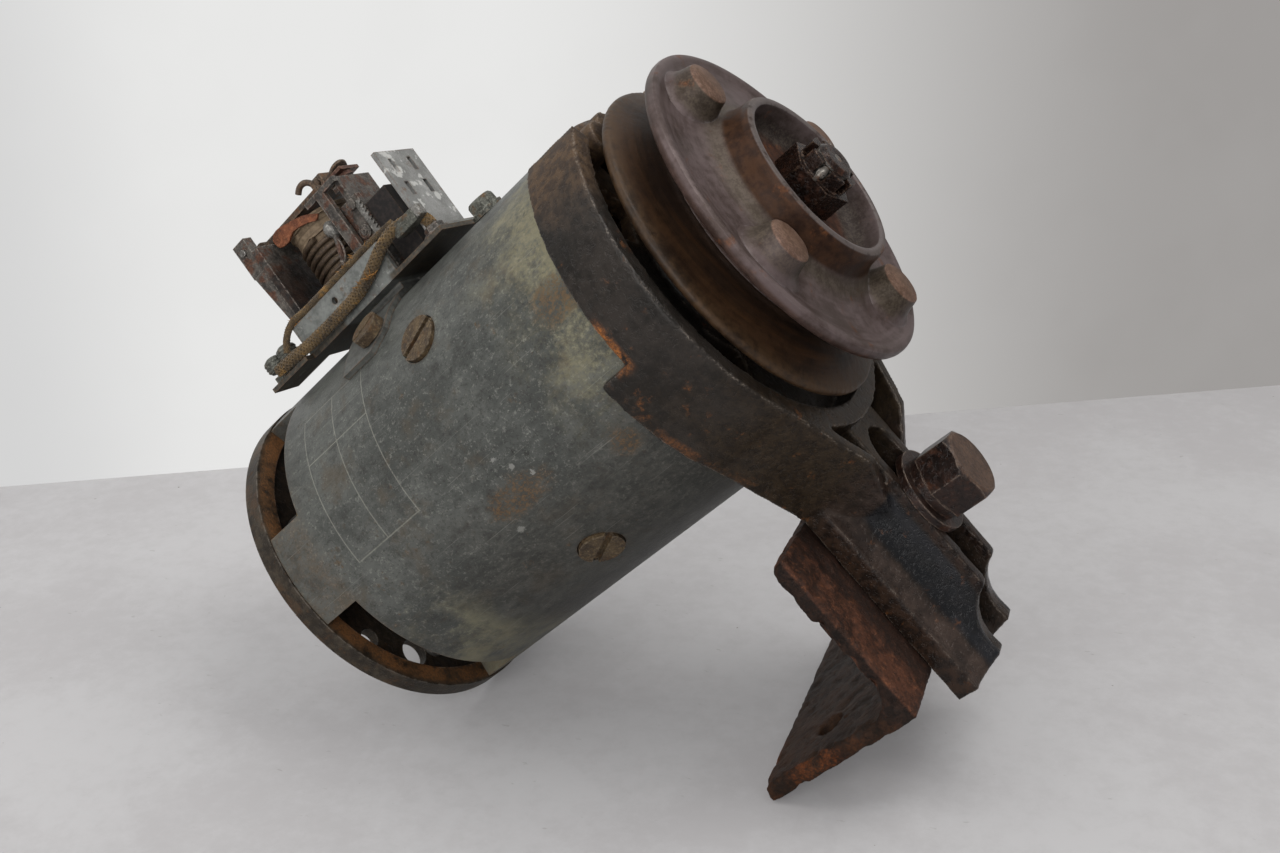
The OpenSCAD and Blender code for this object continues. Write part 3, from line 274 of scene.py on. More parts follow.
def yoke_paint():
    """Grey yoke: ash streaks along the shaft, beige-green stains at both ends, painted shade on the
    underside, rust spots, ruled frame.
    """
    f = Finish("yoke_paint")
    s, round_ = f.spot()[2], f.angle()
    ash = f.grain(3.6, 5.0, 0.72, 2.0, (1, 1, 1.9))
    cloud = f.grain(26.0, 4.0, 0.6, 5.0)
    dust = f.grain(0.6, 3.0, 0.74, 9.0)
    fleck = f.grain(1.3, 4.0, 0.72, 12.0, (1, 1, 1.3))
    f.ground((72, 74, 71), (97, 99, 95), f.step(ash * 0.45 + cloud * 0.55, 0.38, 0.62))
    f.over((140, 141, 134), f.step(fleck * 0.65 + dust * 0.35, 0.52, 0.64) * 0.6)
    f.over((44, 43, 41), f.step(f.grain(1.0, 4.0, 0.74, 61.0), 0.53, 0.64) * 0.45)
    smoke = fleck * 0.3 + f.grain(7.0, 5.0, 0.7, 31.0) * 0.7
    f.over((52, 51, 49), f.step(smoke, 0.50, 0.66) * 0.65)
    f.over((92, 80, 64), f.step(f.grain(16.0, 5.0, 0.68, 47.0), 0.52, 0.68) * 0.45)
    f.over((150, 150, 144), f.step(dust * 0.7 + ash * 0.3, 0.60, 0.68) * 0.45)
    # beige-green stain that spreads back from the band, and one over the lower window
    reach = f.step(s + (cloud - 0.5) * 70, 108, 146)
    side = f.near(round_ + (ash - 0.5) * 50, -120, 48)
    f.over((150, 143, 112), reach * side * f.step(fleck * 0.5 + cloud * 0.5, 0.36, 0.58) * 0.62)
    lower = f.near(s + (cloud - 0.5) * 30, 30, 26) * f.near(round_ + (ash - 0.5) * 40, -38, 36)
    f.over((146, 141, 114), lower * f.step(fleck * 0.2 + cloud * 0.8, 0.36, 0.56) * 0.7)
    # painted shade: the underside, turned away from the light, is painted darker
    under = f.step(round_ + (cloud - 0.5) * 40, -90, -54) * (1 - f.step(round_, 20, 60)) * f.step(s, 30, 60)
    f.coat((44, 42, 38), (70, 66, 60), f.step(fleck * 0.5 + ash * 0.5, 0.42, 0.60), under * 0.6)
    # rust: freckles, three patches, and the edges of the windows
    speck = f.step(f.grain(7.0, 6.0, 0.72, 21.0), 0.62, 0.72)
    ragged = (cloud - 0.5) * 1.6 + (ash - 0.5) * 1.2
    patch = None
    for along, turn, wide, long in ((90, -77, 13, 6), (141, -113, 8, 7), (128, -70, 6, 6)):
        apart = (((s - along) / wide) ** 2 + ((round_ - turn) / long) ** 2) ** 0.5
        spot = f.near(apart + ragged, 0.0, 1.15)
        patch = spot if patch is None else patch.most(spot)
    patch = patch * f.step(fleck * 0.6 + dust * 0.4, 0.40, 0.60)
    window = (1 - f.step(s + (dust - 0.5) * 4, 20, 26)) * f.step(fleck * 0.5 + cloud * 0.5, 0.46, 0.62)
    f.over((98, 92, 82), (1 - f.step(s + (cloud - 0.5) * 16, 14, 32)) * 0.15)
    rusted = (speck * 0.6).most(patch * 0.8).most(window * 0.3)
    f.coat((74, 60, 44), (112, 86, 58), f.step(dust * 0.5 + fleck * 0.5, 0.42, 0.60), rusted)
    # paint chips by the large patch
    chips = ((97, -85, 1.0, 158), (101, -80, 0.8, 164), (83, -69, 1.3, 150), (94, -90, 0.7, 160),
             (104, -85, 1.2, 34), (101, -88, 0.8, 30))
    for along, turn, size, shade in chips:
        apart = ((s - along) ** 2 + (round_ - turn) ** 2) ** 0.5
        chip = f.near(apart + (fleck - 0.5) * 4 + (dust - 0.5) * 2, 0.0, size)
        f.over((shade, shade, shade - 6), chip * 0.6)
    # ruled frame cut into the side
    per_degree = YOKE_RADIUS * math.pi / 180
    turn = round_ * per_degree
    left, right = -92.8 * per_degree, -145 * per_degree
    inside_s = f.step(s, 32.7, 32.9) * (1 - f.step(s, 63.1, 63.3))
    inside_turn = f.step(turn, right - 0.3, right - 0.1) * (1 - f.step(turn, left + 0.1, left + 0.3))
    lines = None
    for at in (33.0, 47.7, 63.0):
        line = f.near(s, at, 0.28) * inside_turn
        lines = line if lines is None else lines.most(line)
    for at in (left, right, right + 17.0):
        lines = lines.most(f.near(turn, at, 0.28) * inside_s)
    scratched = lines * f.step(fleck, 0.30, 0.46)
    f.over((158, 157, 146), scratched * 0.5)
    # scratches and worn edges
    hair = f.grain(3.0, 2.0, 0.5, 41.0, (0.12, 0.12, 9.0))
    f.over((146, 146, 138), f.step(hair, 0.68, 0.74) * 0.35)
    f.over((116, 92, 70), f.edges(0.9) * f.step(fleck, 0.36, 0.56) * 0.7)
    height = dust * 0.4 + fleck * 0.35 + ash * 0.3 - rusted * 0.35 - lines * 0.9
    rough = 0.46 + (fleck - 0.5) * 0.35 + rusted * 0.25 + reach * side * 0.12
    return f.laid(rough, 0.25, height, 0.16, 0.3)


def bracket_casting():
    """Drive end casting: near-black band, brown with painted sheen on top, olive below, darker arm with
    painted shade and dark reflection in its cove, painted glints by the lip, orange rust at its step.
    """
    f = Finish("bracket_casting")
    m, w, s = f.spot()
    round_, r = f.angle(), f.radius()
    broad = f.grain(16.0, 4.0, 0.6, 3.0, (1, 1, 0.6))
    fine = f.grain(3.0, 4.0, 0.65, 8.0)
    dust = f.grain(0.8, 3.0, 0.7, 4.0)
    f.ground((32, 29, 26), (49, 44, 40), f.step(broad * 0.5 + fine * 0.5, 0.38, 0.62))
    f.over((64, 57, 50), f.step(fine * 0.5 + dust * 0.5, 0.54, 0.68) * 0.4)
    # brown over the top of the band, where it is open: a brown tone, with painted sheen where the top catches
    # the light
    top = f.step(abs(round_) + (broad - 0.5) * 40, 118, 146)
    f.coat((62, 46, 33), (96, 74, 52), f.step(fine, 0.40, 0.62), top * 0.75)
    # olive-brown lower flank, and the arm
    low = 1 - f.step(abs(round_) + (broad - 0.5) * 50, 40, 82)
    f.coat((40, 31, 22), (62, 48, 31), f.step(fine * 0.6 + dust * 0.4, 0.40, 0.60), low * 0.6)
    arm = f.step(m + (broad - 0.5) * 16, 68, 84)
    f.coat((29, 24, 21), (52, 41, 34), f.step(fine * 0.5 + broad * 0.5, 0.40, 0.60), arm * 0.8)
    strip = f.step(abs(w) + (broad - 0.5) * 2, 15.6, 17.8) * f.step(s, 143, 144.5) * arm
    f.coat((46, 38, 34), (70, 58, 52), f.step(fine * 0.4 + broad * 0.6, 0.38, 0.62), strip * 0.85)
    # painted glints: small bright specks on the strip by the lip
    f.over((128, 118, 112), strip * f.step(fine * 0.5 + dust * 0.5, 0.58, 0.66) * 0.4)
    # painted shade and dark blue reflection in the hollow of the cove
    cove_shade_and_reflection = f.near(abs(w) + (broad - 0.5), 14.2, 3.0) * f.step(s, 148, 149.5) * (1 - f.step(s, 159, 161)) * arm
    f.coat((23, 25, 28), (35, 37, 41), f.step(broad, 0.40, 0.60), cove_shade_and_reflection * 0.85)
    rail = f.step(s, 159.5, 161.5) * arm
    f.coat((22, 14, 11), (42, 28, 21), f.step(fine, 0.40, 0.60), rail * 0.85)
    lip = f.step(abs(w) + (fine - 0.5), 22.6, 23.4) * arm
    f.coat((30, 22, 18), (52, 37, 28), f.step(fine, 0.42, 0.60), lip * 0.85)
    # orange rust at the step of the skirt and along the rear edge
    step_edge = f.near(s, 147.0, 4.0) * f.near(abs(round_), 92, 9)
    rear = f.near(s, 139.0, 3.2) * (1 - f.step(abs(round_), 84, 92))
    rear = rear * f.step(r, 54, 57) * (1 - f.step(m, 52, 60))
    spots = f.step(f.grain(8.0, 6.0, 0.7, 17.0), 0.60, 0.70)
    rear_rust = rear * f.step(broad * 0.5 + fine * 0.5, 0.44, 0.60) * 0.35
    rusted = (step_edge * f.step(fine, 0.34, 0.50)).most(rear_rust).most(spots * 0.4)
    f.coat((104, 66, 40), (158, 98, 48), f.step(dust, 0.42, 0.60), rusted)
    f.over((140, 130, 120), f.edges(0.9) * f.step(fine, 0.38, 0.58) * 0.7)
    pits = f.step(f.grain(1.6, 3.0, 0.7, 25.0), 0.32, 0.50)
    height = pits * 0.5 + dust * 0.3 + fine * 0.6
    rough = 0.38 + (fine - 0.5) * 0.3 + rusted * 0.25 + top * 0.14 - arm * 0.08 - cove_shade_and_reflection * 0.08
    return f.laid(rough, 0.1, height, 0.2, specular=0.2)


def end_plate_casting():
    """Commutator end plate: worn rim with an orange inner edge, nearly black inside."""
    f = Finish("end_plate_casting")
    s, r = f.spot()[2], f.radius()
    broad = f.grain(12.0, 4.0, 0.6, 6.0)
    fine = f.grain(2.4, 4.0, 0.65, 2.0)
    dust = f.grain(0.8, 3.0, 0.7, 4.0)
    f.ground((42, 36, 29), (72, 64, 53), f.step(broad * 0.5 + fine * 0.5, 0.40, 0.62))
    f.over((84, 62, 42), f.step(f.grain(9.0, 5.0, 0.68, 11.0), 0.50, 0.64) * 0.6)
    inside = (1 - f.step(r, 49.5, 52.5)) * f.step(s, 1.5, 4.0)
    f.coat((34, 28, 23), (58, 46, 36), f.step(fine, 0.42, 0.62), inside * 0.9)
    rusted = (f.near(r, 53.5, 4.2) * f.step(s, 3.0, 5.5) * f.step(broad * 0.5 + fine * 0.5, 0.36, 0.52)).most(
        f.step(f.grain(7.0, 6.0, 0.7, 19.0), 0.60, 0.70) * 0.6)
    f.coat((92, 66, 42), (140, 92, 50), f.step(dust * 0.5 + broad * 0.5, 0.42, 0.62), rusted * 0.7)
    f.over((140, 132, 122), f.edges(0.9) * f.step(fine, 0.42, 0.60) * 0.6)
    height = dust * 0.4 + fine * 0.6 + f.step(f.grain(1.5, 3.0, 0.7, 25.0), 0.32, 0.50) * 0.5
    return f.laid(0.5 + (fine - 0.5) * 0.3 + rusted * 0.2, 0.2, height, 0.18, 0.4)


def front_pulley_patina():
    """Front half of the pulley: smooth purple-brown, olive dust in the hollow, brown ring, worn edges."""
    f = Finish("front_pulley_patina")
    s, r = f.spot()[2], f.radius()
    broad = f.grain(18.0, 4.0, 0.58, 4.0)
    lathe = f.grain(2.2, 3.0, 0.6, 1.0, turned=True)
    fine = f.grain(2.6, 4.0, 0.66, 9.0)
    dust = f.grain(0.7, 3.0, 0.72, 6.0)
    f.ground((72, 60, 56), (104, 91, 90), f.step(broad * 0.45 + lathe * 0.25 + fine * 0.3, 0.39, 0.61))
    hollow = f.near(r + (broad - 0.5) * 14, 37, 11) * f.step(s, 189, 191)
    f.coat((70, 62, 48), (92, 84, 70), f.step(dust * 0.5 + fine * 0.5, 0.42, 0.58), hollow * 0.6)
    ring = f.near(r + (fine - 0.5) * 1.0, 28.6, 2.6) * f.step(s, 192.0, 193.6)
    dish = 1 - f.step(r, 24.0, 25.4)
    groove = 1 - f.step(s, 187.2, 188.6)
    f.coat((40, 22, 11), (66, 40, 20),
           f.step(fine * 0.5 + broad * 0.5, 0.40, 0.60), (ring * 0.9).most(groove * 0.6))
    f.coat((48, 41, 37), (80, 72, 64), f.step(dust * 0.6 + fine * 0.4, 0.42, 0.60), dish * 0.85)
    stain = f.near(r + (broad - 0.5) * 10, 14, 7) * dish
    f.coat((58, 34, 24), (88, 52, 36), f.step(fine, 0.40, 0.60), stain * 0.7)
    lip = f.near(s, 201.2, 1.0) * f.near(r, 26.6, 2.4)
    f.over((112, 106, 104), lip * f.step(fine, 0.30, 0.52) * 0.6)
    tops = f.step(s, 195.7, 196.2) * f.step(r, 30.5, 32.0)
    f.coat((96, 72, 58), (128, 100, 84), f.step(dust * 0.5 + fine * 0.5, 0.42, 0.60), tops * 0.85)
    sides = f.step(s + (fine - 0.5) * 1.5, 190.4, 192.2) * (1 - tops) * f.step(r, 31.5, 33.5)
    f.coat((50, 43, 35), (80, 70, 58), f.step(dust * 0.5 + fine * 0.5, 0.42, 0.60), sides * 0.6)
    rusted = f.step(f.grain(9.0, 6.0, 0.7, 15.0), 0.58, 0.70)
    f.coat((96, 60, 38), (128, 80, 46), f.step(dust, 0.42, 0.60), rusted * 0.5)
    f.over((128, 122, 122), f.edges(0.9) * f.step(fine, 0.36, 0.56) * 0.5)
    height = dust * 0.35 + fine * 0.4 + lathe * 0.35
    rough = 0.40 + (fine - 0.5) * 0.3 + hollow * 0.15 + dish * 0.2 + rusted * 0.12
    return f.laid(rough, 0.22, height, 0.13, specular=0.12)


def rear_pulley_rust():
    """Rear half of the pulley: brown rust that runs round it, with painted shade low in the groove."""
    f = Finish("rear_pulley_rust")
    r = f.radius()
    broad = f.grain(20.0, 4.0, 0.6, 14.0)
    lathe = f.grain(2.6, 4.0, 0.65, 3.0, turned=True)
    fine = f.grain(2.4, 4.0, 0.66, 5.0)
    dust = f.grain(0.8, 3.0, 0.72, 7.0)
    f.ground((36, 24, 16), (68, 47, 30), f.step(broad * 0.5 + lathe * 0.3 + fine * 0.2, 0.39, 0.61))
    f.over((100, 65, 34), f.step(f.grain(11.0, 5.0, 0.68, 22.0, turned=True), 0.53, 0.66) * 0.6)
    # painted shade low in the groove, under the front disc
    f.over((32, 24, 20), (1 - f.step(r + (lathe - 0.5) * 6, 42, 48)) * 0.65)
    rim = f.step(r + (fine - 0.5) * 3, 49.0, 53.0)
    f.coat((48, 36, 25), (76, 57, 38), f.step(fine * 0.5 + broad * 0.5, 0.42, 0.58), rim * 0.7)
    height = dust * 0.4 + fine * 0.5 + lathe * 0.4
    return f.laid(0.48 + (fine - 0.5) * 0.3, 0.15, height, 0.15)


def bracket_rust():
    """Angle bracket: red-brown scale with dark flakes, orange at the foot's free edge and in the pits,
    painted shadow on the foot and beside the arm.
    """
    f = Finish("angle_rust")
    m, w, s = f.spot()
    broad = f.grain(13.0, 5.0, 0.62, 8.0)
    fine = f.grain(2.6, 5.0, 0.68, 3.0)
    dust = f.grain(0.8, 3.0, 0.74, 2.0)
    f.ground((46, 30, 22), (88, 55, 40), f.step(broad * 0.5 + fine * 0.5, 0.39, 0.61))
    f.over((38, 29, 26), f.step(f.grain(6.0, 5.0, 0.7, 27.0), 0.50, 0.64) * 0.65)
    f.over((132, 84, 56), f.step(fine * 0.5 + dust * 0.5, 0.53, 0.65) * 0.5)
    foot = f.step(m + (fine - 0.5) * 4, 122, 126) * (1 - f.step(s, 128, 134))
    # painted shadow: the foot lies in the machine's shadow and is painted darker
    f.coat((26, 18, 11), (46, 33, 20), f.step(broad * 0.4 + fine * 0.6, 0.42, 0.60), foot * 0.8)
    edge = f.step(abs(w) + (fine - 0.5) * 0.6, 46.6, 47.3) * (1 - f.step(s, 136.4, 137.2)) * (1 - foot)
    f.coat((24, 18, 15), (43, 31, 25), f.step(fine, 0.42, 0.60), edge * 0.9)
    shaded = f.step(s, 136.5, 137.4) * (1 - f.step(abs(w) + (fine - 0.5) * 4, 30, 38))
    f.over((36, 27, 23), shaded * 0.75)
    toe = f.near(w + (broad - 0.5) * 20, -34, 22) * (1 - f.step(s + (broad - 0.5) * 10, 82, 88)).most(
        f.step(abs(w) + (broad - 0.5) * 5, 46.5, 48.2) * foot)
    orange = (toe * f.step(fine, 0.34, 0.54)).most(f.step(f.grain(9.0, 6.0, 0.7, 33.0), 0.60, 0.70) * 0.7)
    f.coat((54, 33, 22), (108, 62, 32), f.step(dust * 0.4 + broad * 0.6, 0.46, 0.66), orange * 0.65)
    flame = f.near(w + (broad - 0.5) * 16, -33, 12) * (1 - f.step(s + (fine - 0.5) * 3, 82.4, 85.0))
    flame = flame * f.step(fine, 0.36, 0.56)
    f.coat((112, 62, 30), (158, 88, 40), f.step(dust, 0.42, 0.60), flame * 0.75)
    scorch = f.step(abs(w) + (fine - 0.5), 46.6, 47.4) * f.near(s + (broad - 0.5) * 12, 101, 12) * foot
    f.coat((58, 34, 20), (108, 58, 27),
           f.step(dust * 0.4 + fine * 0.6, 0.42, 0.62), scorch * f.step(fine, 0.36, 0.56) * 0.75)
    pits = f.step(f.grain(2.0, 4.0, 0.7, 12.0), 0.34, 0.52)
    height = pits * 0.6 + dust * 0.35 + fine * 0.6
    return f.laid(0.60 + (dust - 0.5) * 0.25 + orange * 0.1, 0.05, height, 0.3, specular=0.15)


def bolt_rust():
    """Clamp bolt and its washers: oily red-brown sides, a lighter brown top painted as if lit and duller
    there, bright corners.
    """
    f = Finish("bolt_rust")
    s = f.spot()[2]
    broad = f.grain(8.0, 4.0, 0.6, 10.0)
    fine = f.grain(2.0, 4.0, 0.64, 17.0)
    dust = f.grain(0.8, 2.0, 0.7, 21.0)
    f.ground((24, 15, 12), (45, 28, 21), f.step(broad * 0.5 + fine * 0.5, 0.40, 0.62))
    f.over((84, 52, 36), f.step(f.grain(6.0, 5.0, 0.68, 4.0), 0.54, 0.68) * 0.6)
    # painted light: the top of the head is painted lighter as if lit, and is made duller
    lit_top = f.step(s + (fine - 0.5), 179.6, 180.3)
    f.coat((68, 50, 40), (100, 76, 60), f.step(broad * 0.4 + dust * 0.6, 0.40, 0.62), lit_top * 0.85)
    f.over((146, 128, 114), f.edges(0.9) * f.step(fine, 0.38, 0.58) * 0.75)
    pits = f.step(f.grain(1.4, 3.0, 0.7, 15.0), 0.34, 0.50)
    rough = 0.36 + (fine - 0.5) * 0.3 + lit_top * 0.15
    height = pits * 0.5 + dust * 0.3 + fine * 0.5
    return f.laid(rough, 0.12, height, 0.2, 0.45, specular=0.35)


def relay_sheet():
    """Plated sheet of the relay: dull grey with white bloom, smears, brown edges, grime on the tab, and the
    guard plate painted lighter as if lit.
    """
    f = Finish("plated_sheet")
    s, height_up = f.spot()[2], f.relay_height()
    broad = f.grain(9.0, 4.0, 0.62, 3.0)
    fine = f.grain(1.8, 4.0, 0.66, 6.0)
    dust = f.grain(0.6, 3.0, 0.72, 9.0)
    f.ground((108, 110, 107), (138, 141, 137), f.step(broad * 0.5 + fine * 0.5, 0.38, 0.62))
    bloom = f.step(f.grain(3.4, 5.0, 0.66, 18.0), 0.60, 0.68)
    f.over((196, 196, 190), bloom * 0.6)
    smear = f.step(f.grain(6.0, 5.0, 0.7, 28.0), 0.55, 0.68)
    f.over((74, 66, 56), smear * 0.6)
    tab, floor = 1 - f.step(s + (broad - 0.5) * 6, 33, 38), f.near(height_up, 59.6, 1.9)
    grime = tab.most(floor * f.step(s, 78, 80)).most(floor * (1 - f.step(s, 54, 56)))
    f.coat((48, 42, 34), (78, 66, 50), f.step(fine, 0.40, 0.60), grime * 0.8)
    # painted light: the guard plate, which faces up, is painted lighter, with white blotches on it
    lit_guard = f.step(s, 94.0, 94.8) * f.step(height_up, 61.5, 63.0)
    f.coat((134, 134, 132), (172, 172, 170), f.step(broad * 0.6 + dust * 0.4, 0.40, 0.62), lit_guard * 0.75)
    f.over((222, 222, 218), lit_guard * f.step(f.grain(5.0, 3.0, 0.6, 52.0), 0.58, 0.64) * 0.7)
    strap = 1 - f.step(height_up, 57.9, 58.6)
    f.coat((70, 70, 67), (98, 99, 95), f.step(broad * 0.4 + fine * 0.6, 0.40, 0.60), strap * 0.85)
    spots = f.step(f.grain(5.0, 6.0, 0.7, 38.0), 0.60, 0.70)
    rusted = (f.edges(1.0) * f.step(fine, 0.36, 0.56)).most(spots) * 0.55
    f.coat((98, 68, 44), (134, 94, 58), f.step(dust, 0.40, 0.60), rusted)
    height = dust * 0.4 + fine * 0.5 - bloom * 0.2
    return f.laid(0.48 + (fine - 0.5) * 0.3 + rusted * 0.2, 0.35, height, 0.1, 0.25)


def relay_rust():
    """Iron of the relay: grey with rust in patches, painted shade that makes it nearly black behind the coil,
    and bright edges.
    """
    f = Finish("relay_rust")
    s, height_up = f.spot()[2], f.relay_height()
    broad = f.grain(4.0, 4.0, 0.6, 4.0)
    fine = f.grain(0.9, 4.0, 0.62, 11.0)
    dust = f.grain(0.6, 2.0, 0.7, 15.0)
    f.ground((60, 57, 54), (96, 91, 85), f.step(broad * 0.6 + fine * 0.4, 0.38, 0.62))
    f.over((134, 126, 118), f.step(fine * 0.6 + dust * 0.4, 0.52, 0.66) * 0.5)
    rusted = f.step(f.grain(5.0, 5.0, 0.66, 7.0), 0.48, 0.60)
    f.coat((70, 43, 32), (106, 66, 45), f.step(dust * 0.5 + fine * 0.5, 0.40, 0.62), rusted * 0.8)
    # painted shade: the iron beside the coil, where shade falls, is painted nearly black
    behind = f.near(height_up + (broad - 0.5) * 8, 81, 17) * f.near(s, 40.4, 3.4)
    f.coat((27, 22, 20), (50, 37, 30), f.step(broad, 0.42, 0.60), behind * 0.85)
    f.over((168, 160, 150), f.edges(0.8) * f.step(fine, 0.38, 0.56) * 0.7)
    height = f.step(f.grain(1.3, 3.0, 0.7, 9.0), 0.34, 0.50) * 0.55 + dust * 0.35 + fine * 0.5
    return f.laid(0.46 + (dust - 0.5) * 0.25 + rusted * 0.12, 0.25, height, 0.18, 0.3)


def coil_wrap():
    """Aged wrapping of the coil: tan paper with darker lap lines, stains and creases."""
    f = Finish("coil_wrap")
    height_up = f.relay_height()
    fine = f.grain(1.6, 4.0, 0.66, 4.0)
    broad = f.grain(5.0, 4.0, 0.6, 2.0)
    crease = f.grain(1.2, 3.0, 0.6, 8.0, (3.0, 1, 0.5))
    f.ground((98, 83, 66), (138, 120, 98), f.step(broad * 0.5 + fine * 0.5, 0.38, 0.62))
    laps = height_up * 0.42
    lap = f.near(abs(laps - f.node("ShaderNodeMath", {"operation": "ROUND"}, {0: laps})), 0.0, 0.16)
    f.over((72, 56, 40), lap * f.step(fine, 0.34, 0.56) * 0.45)
    f.over((54, 42, 32), f.step(f.grain(4.0, 5.0, 0.7, 14.0), 0.56, 0.68) * 0.6)
    return f.laid(0.72 + (fine - 0.5) * 0.2, 0.0, crease * 0.6 + fine * 0.5 - lap * 0.4, 0.2, 0.2)


def lead_braid():
    """Cotton braid of the leads, brown with oil and frayed orange where it rubs."""
    f = Finish("lead_braid")
    fine = f.grain(0.9, 4.0, 0.7, 4.0)
    broad = f.grain(8.0, 4.0, 0.6, 2.0)
    thread = f.grain(0.35, 2.0, 0.6, 7.0)
    f.ground((66, 55, 42), (108, 88, 58), f.step(broad * 0.4 + fine * 0.6, 0.38, 0.62))
    f.over((152, 116, 62), f.step(f.grain(6.0, 5.0, 0.7, 12.0), 0.54, 0.68) * 0.7)
    f.over((42, 36, 30), f.step(f.grain(5.0, 4.0, 0.7, 22.0), 0.56, 0.68) * 0.6)
    rough = 0.82 + (fine - 0.5) * 0.2
    return f.laid(rough, 0.0, thread * 0.6 + fine * 0.4, 0.12, sheen=0.15)


def wound_wire(name, dark, light, roughness, metallic):
    """Varnished wire in a dark and a light tone that vary at random."""
    f = Finish(name)
    fine = f.grain(0.9, 4.0, 0.68, 5.0)
    broad = f.grain(6.0, 4.0, 0.6, 3.0)
    f.ground(dark, light, f.step(fine * 0.6 + broad * 0.4, 0.38, 0.64))
    return f.laid(roughness + (fine - 0.5) * 0.25, metallic, fine, 0.08)


def moulding():
    """Black moulded insulator, dull with brown dust and chipped edges."""
    f = Finish("moulding")
    fine = f.grain(1.6, 4.0, 0.68, 5.0)
    dust = f.grain(0.6, 3.0, 0.7, 3.0)
    f.ground((27, 24, 24), (46, 40, 37), f.step(fine, 0.40, 0.62))
    f.over((104, 82, 58), f.edges(0.8) * f.step(dust, 0.42, 0.60) * 0.7)
    return f.laid(0.55 + (fine - 0.5) * 0.3, 0.0, dust * 0.5 + fine * 0.5, 0.1, 0.3)


RUST = ((104, 66, 40), (142, 90, 50))
FINISHES = {
    "yoke_iron": yoke_paint(),
    "end_casting": end_plate_casting(),
    "soft_iron": old_iron("core_iron", ((70, 68, 66), (98, 96, 92), (116, 112, 106)), RUST, (0.58, 0.72),
                          0.5, 0.5, 8.0, 3.0, worn=(150, 148, 144)),
    "taped_copper": old_iron("coil_tape", ((88, 66, 40), (124, 96, 60), (150, 122, 82)),
                             ((52, 40, 28), (70, 54, 36)), (0.56, 0.72), 0.7, 0.0, 6.0, 9.0, depth=0.3),
    "rusty_screw": old_iron("screw_rust", ((62, 50, 38), (92, 76, 54), (120, 104, 80)),
                            ((82, 60, 40), (110, 80, 50)), (0.52, 0.68),
                            0.48, 0.15, 5.0, 5.0, worn=(146, 134, 116)),
    "bronze": old_iron("bush_bronze", ((122, 92, 48), (158, 122, 66), (178, 146, 92)),
                       ((84, 66, 40), (104, 82, 48)), (0.60, 0.75), 0.4, 0.8, 6.0, 2.0),
    "plain_steel": old_iron("oiled_steel", ((96, 92, 88), (130, 127, 122), (150, 147, 142)), RUST,
                            (0.58, 0.72), 0.42, 0.7, 5.0, 12.0, worn=(176, 174, 170)),
    "bearing_steel": old_iron("ground_steel", ((150, 150, 150), (172, 172, 172), (186, 186, 186)),
                              ((120, 108, 92), (132, 120, 102)), (0.62, 0.76), 0.25, 0.9, 5.0, 17.0),
    "grey_screw": old_iron("dull_screw", ((66, 66, 60), (98, 99, 92), (128, 128, 118)),
                           ((92, 70, 48), (112, 84, 56)), (0.52, 0.68), 0.5, 0.35, 4.0, 6.0,
                           worn=(160, 160, 150)),
    "zinc_sheet": relay_sheet(),
    "relay_iron": relay_rust(),
    "coil_paper": coil_wrap(),
    "relay_copper": wound_wire("coil_wire", (50, 41, 34), (94, 78, 62), 0.45, 0.2),
    "black_moulding": moulding(),
    "braided_lead": lead_braid(),
    "armature_copper": wound_wire("armature_wire", (104, 62, 36), (152, 96, 58), 0.42, 0.5),
    "commutator_copper": old_iron("turned_copper", ((128, 78, 50), (164, 106, 72), (186, 132, 98)),
                                  ((72, 52, 40), (92, 64, 46)), (0.58, 0.72), 0.38, 0.8, 5.0, 8.0,
                                  turned=True),
    "pulley_rear_iron": rear_pulley_rust(),
    "pulley_front_iron": front_pulley_patina(),
    "nut_rust": old_iron("nut_rust", ((22, 14, 11), (40, 25, 19), (62, 42, 32)),
                         ((62, 36, 24), (84, 50, 33)), (0.54, 0.70), 0.26, 0.25, 5.0, 13.0,
                         worn=(130, 106, 88), wear=0.6),
    "pin_steel": old_iron("pin_steel", ((104, 98, 92), (138, 133, 126), (164, 160, 154)),
                          ((84, 58, 42), (108, 76, 54)), (0.54, 0.68), 0.36, 0.5, 3.0, 18.0),
    "tongue_iron": old_iron("tongue_rust", ((60, 52, 46), (92, 76, 62), (126, 106, 86)),
                            ((92, 62, 42), (120, 86, 57)), (0.52, 0.66), 0.52, 0.15, 5.0, 7.0,
                            worn=(152, 138, 122)),
    "blade_copper": old_iron("blade_copper", ((74, 52, 46), (104, 74, 62), (132, 100, 84)),
                             ((110, 70, 48), (140, 98, 66)), (0.54, 0.68), 0.48, 0.4, 5.0, 16.0,
                             worn=(176, 150, 128)),
    "bolt_rust": bolt_rust(),
    "bracket_rust": bracket_rust(),
    "brush_brass": old_iron("brush_brass", ((116, 96, 54), (150, 126, 76), (172, 150, 100)),
                            ((74, 66, 44), (94, 80, 50)), (0.58, 0.72), 0.45, 0.7, 5.0, 1.0),
    "carbon": old_iron("brush_carbon", ((40, 40, 40), (56, 56, 56), (74, 74, 74)),
                       ((60, 56, 50), (72, 66, 58)), (0.60, 0.75), 0.6, 0.1, 3.0, 3.0),
    "spring_steel": wound_wire("spring_wire", (62, 66, 74), (112, 116, 124), 0.38, 0.7),
}
CASTING = bracket_casting()
FIBRE = old_iron("fibre", ((96, 56, 38), (134, 80, 52), (156, 104, 74)),
                 ((76, 48, 34), (98, 60, 40)), (0.50, 0.64), 0.62, 0.0, 4.0, 2.0)
FRAYED = wound_wire("frayed_cotton", (120, 84, 44), (176, 128, 70), 0.85, 0.0)
SOLDER = old_iron("solder", ((98, 96, 92), (134, 132, 127), (184, 182, 176)),
                  ((96, 84, 70), (110, 94, 76)), (0.58, 0.72), 0.4, 0.5, 3.0, 5.0)


# Forms


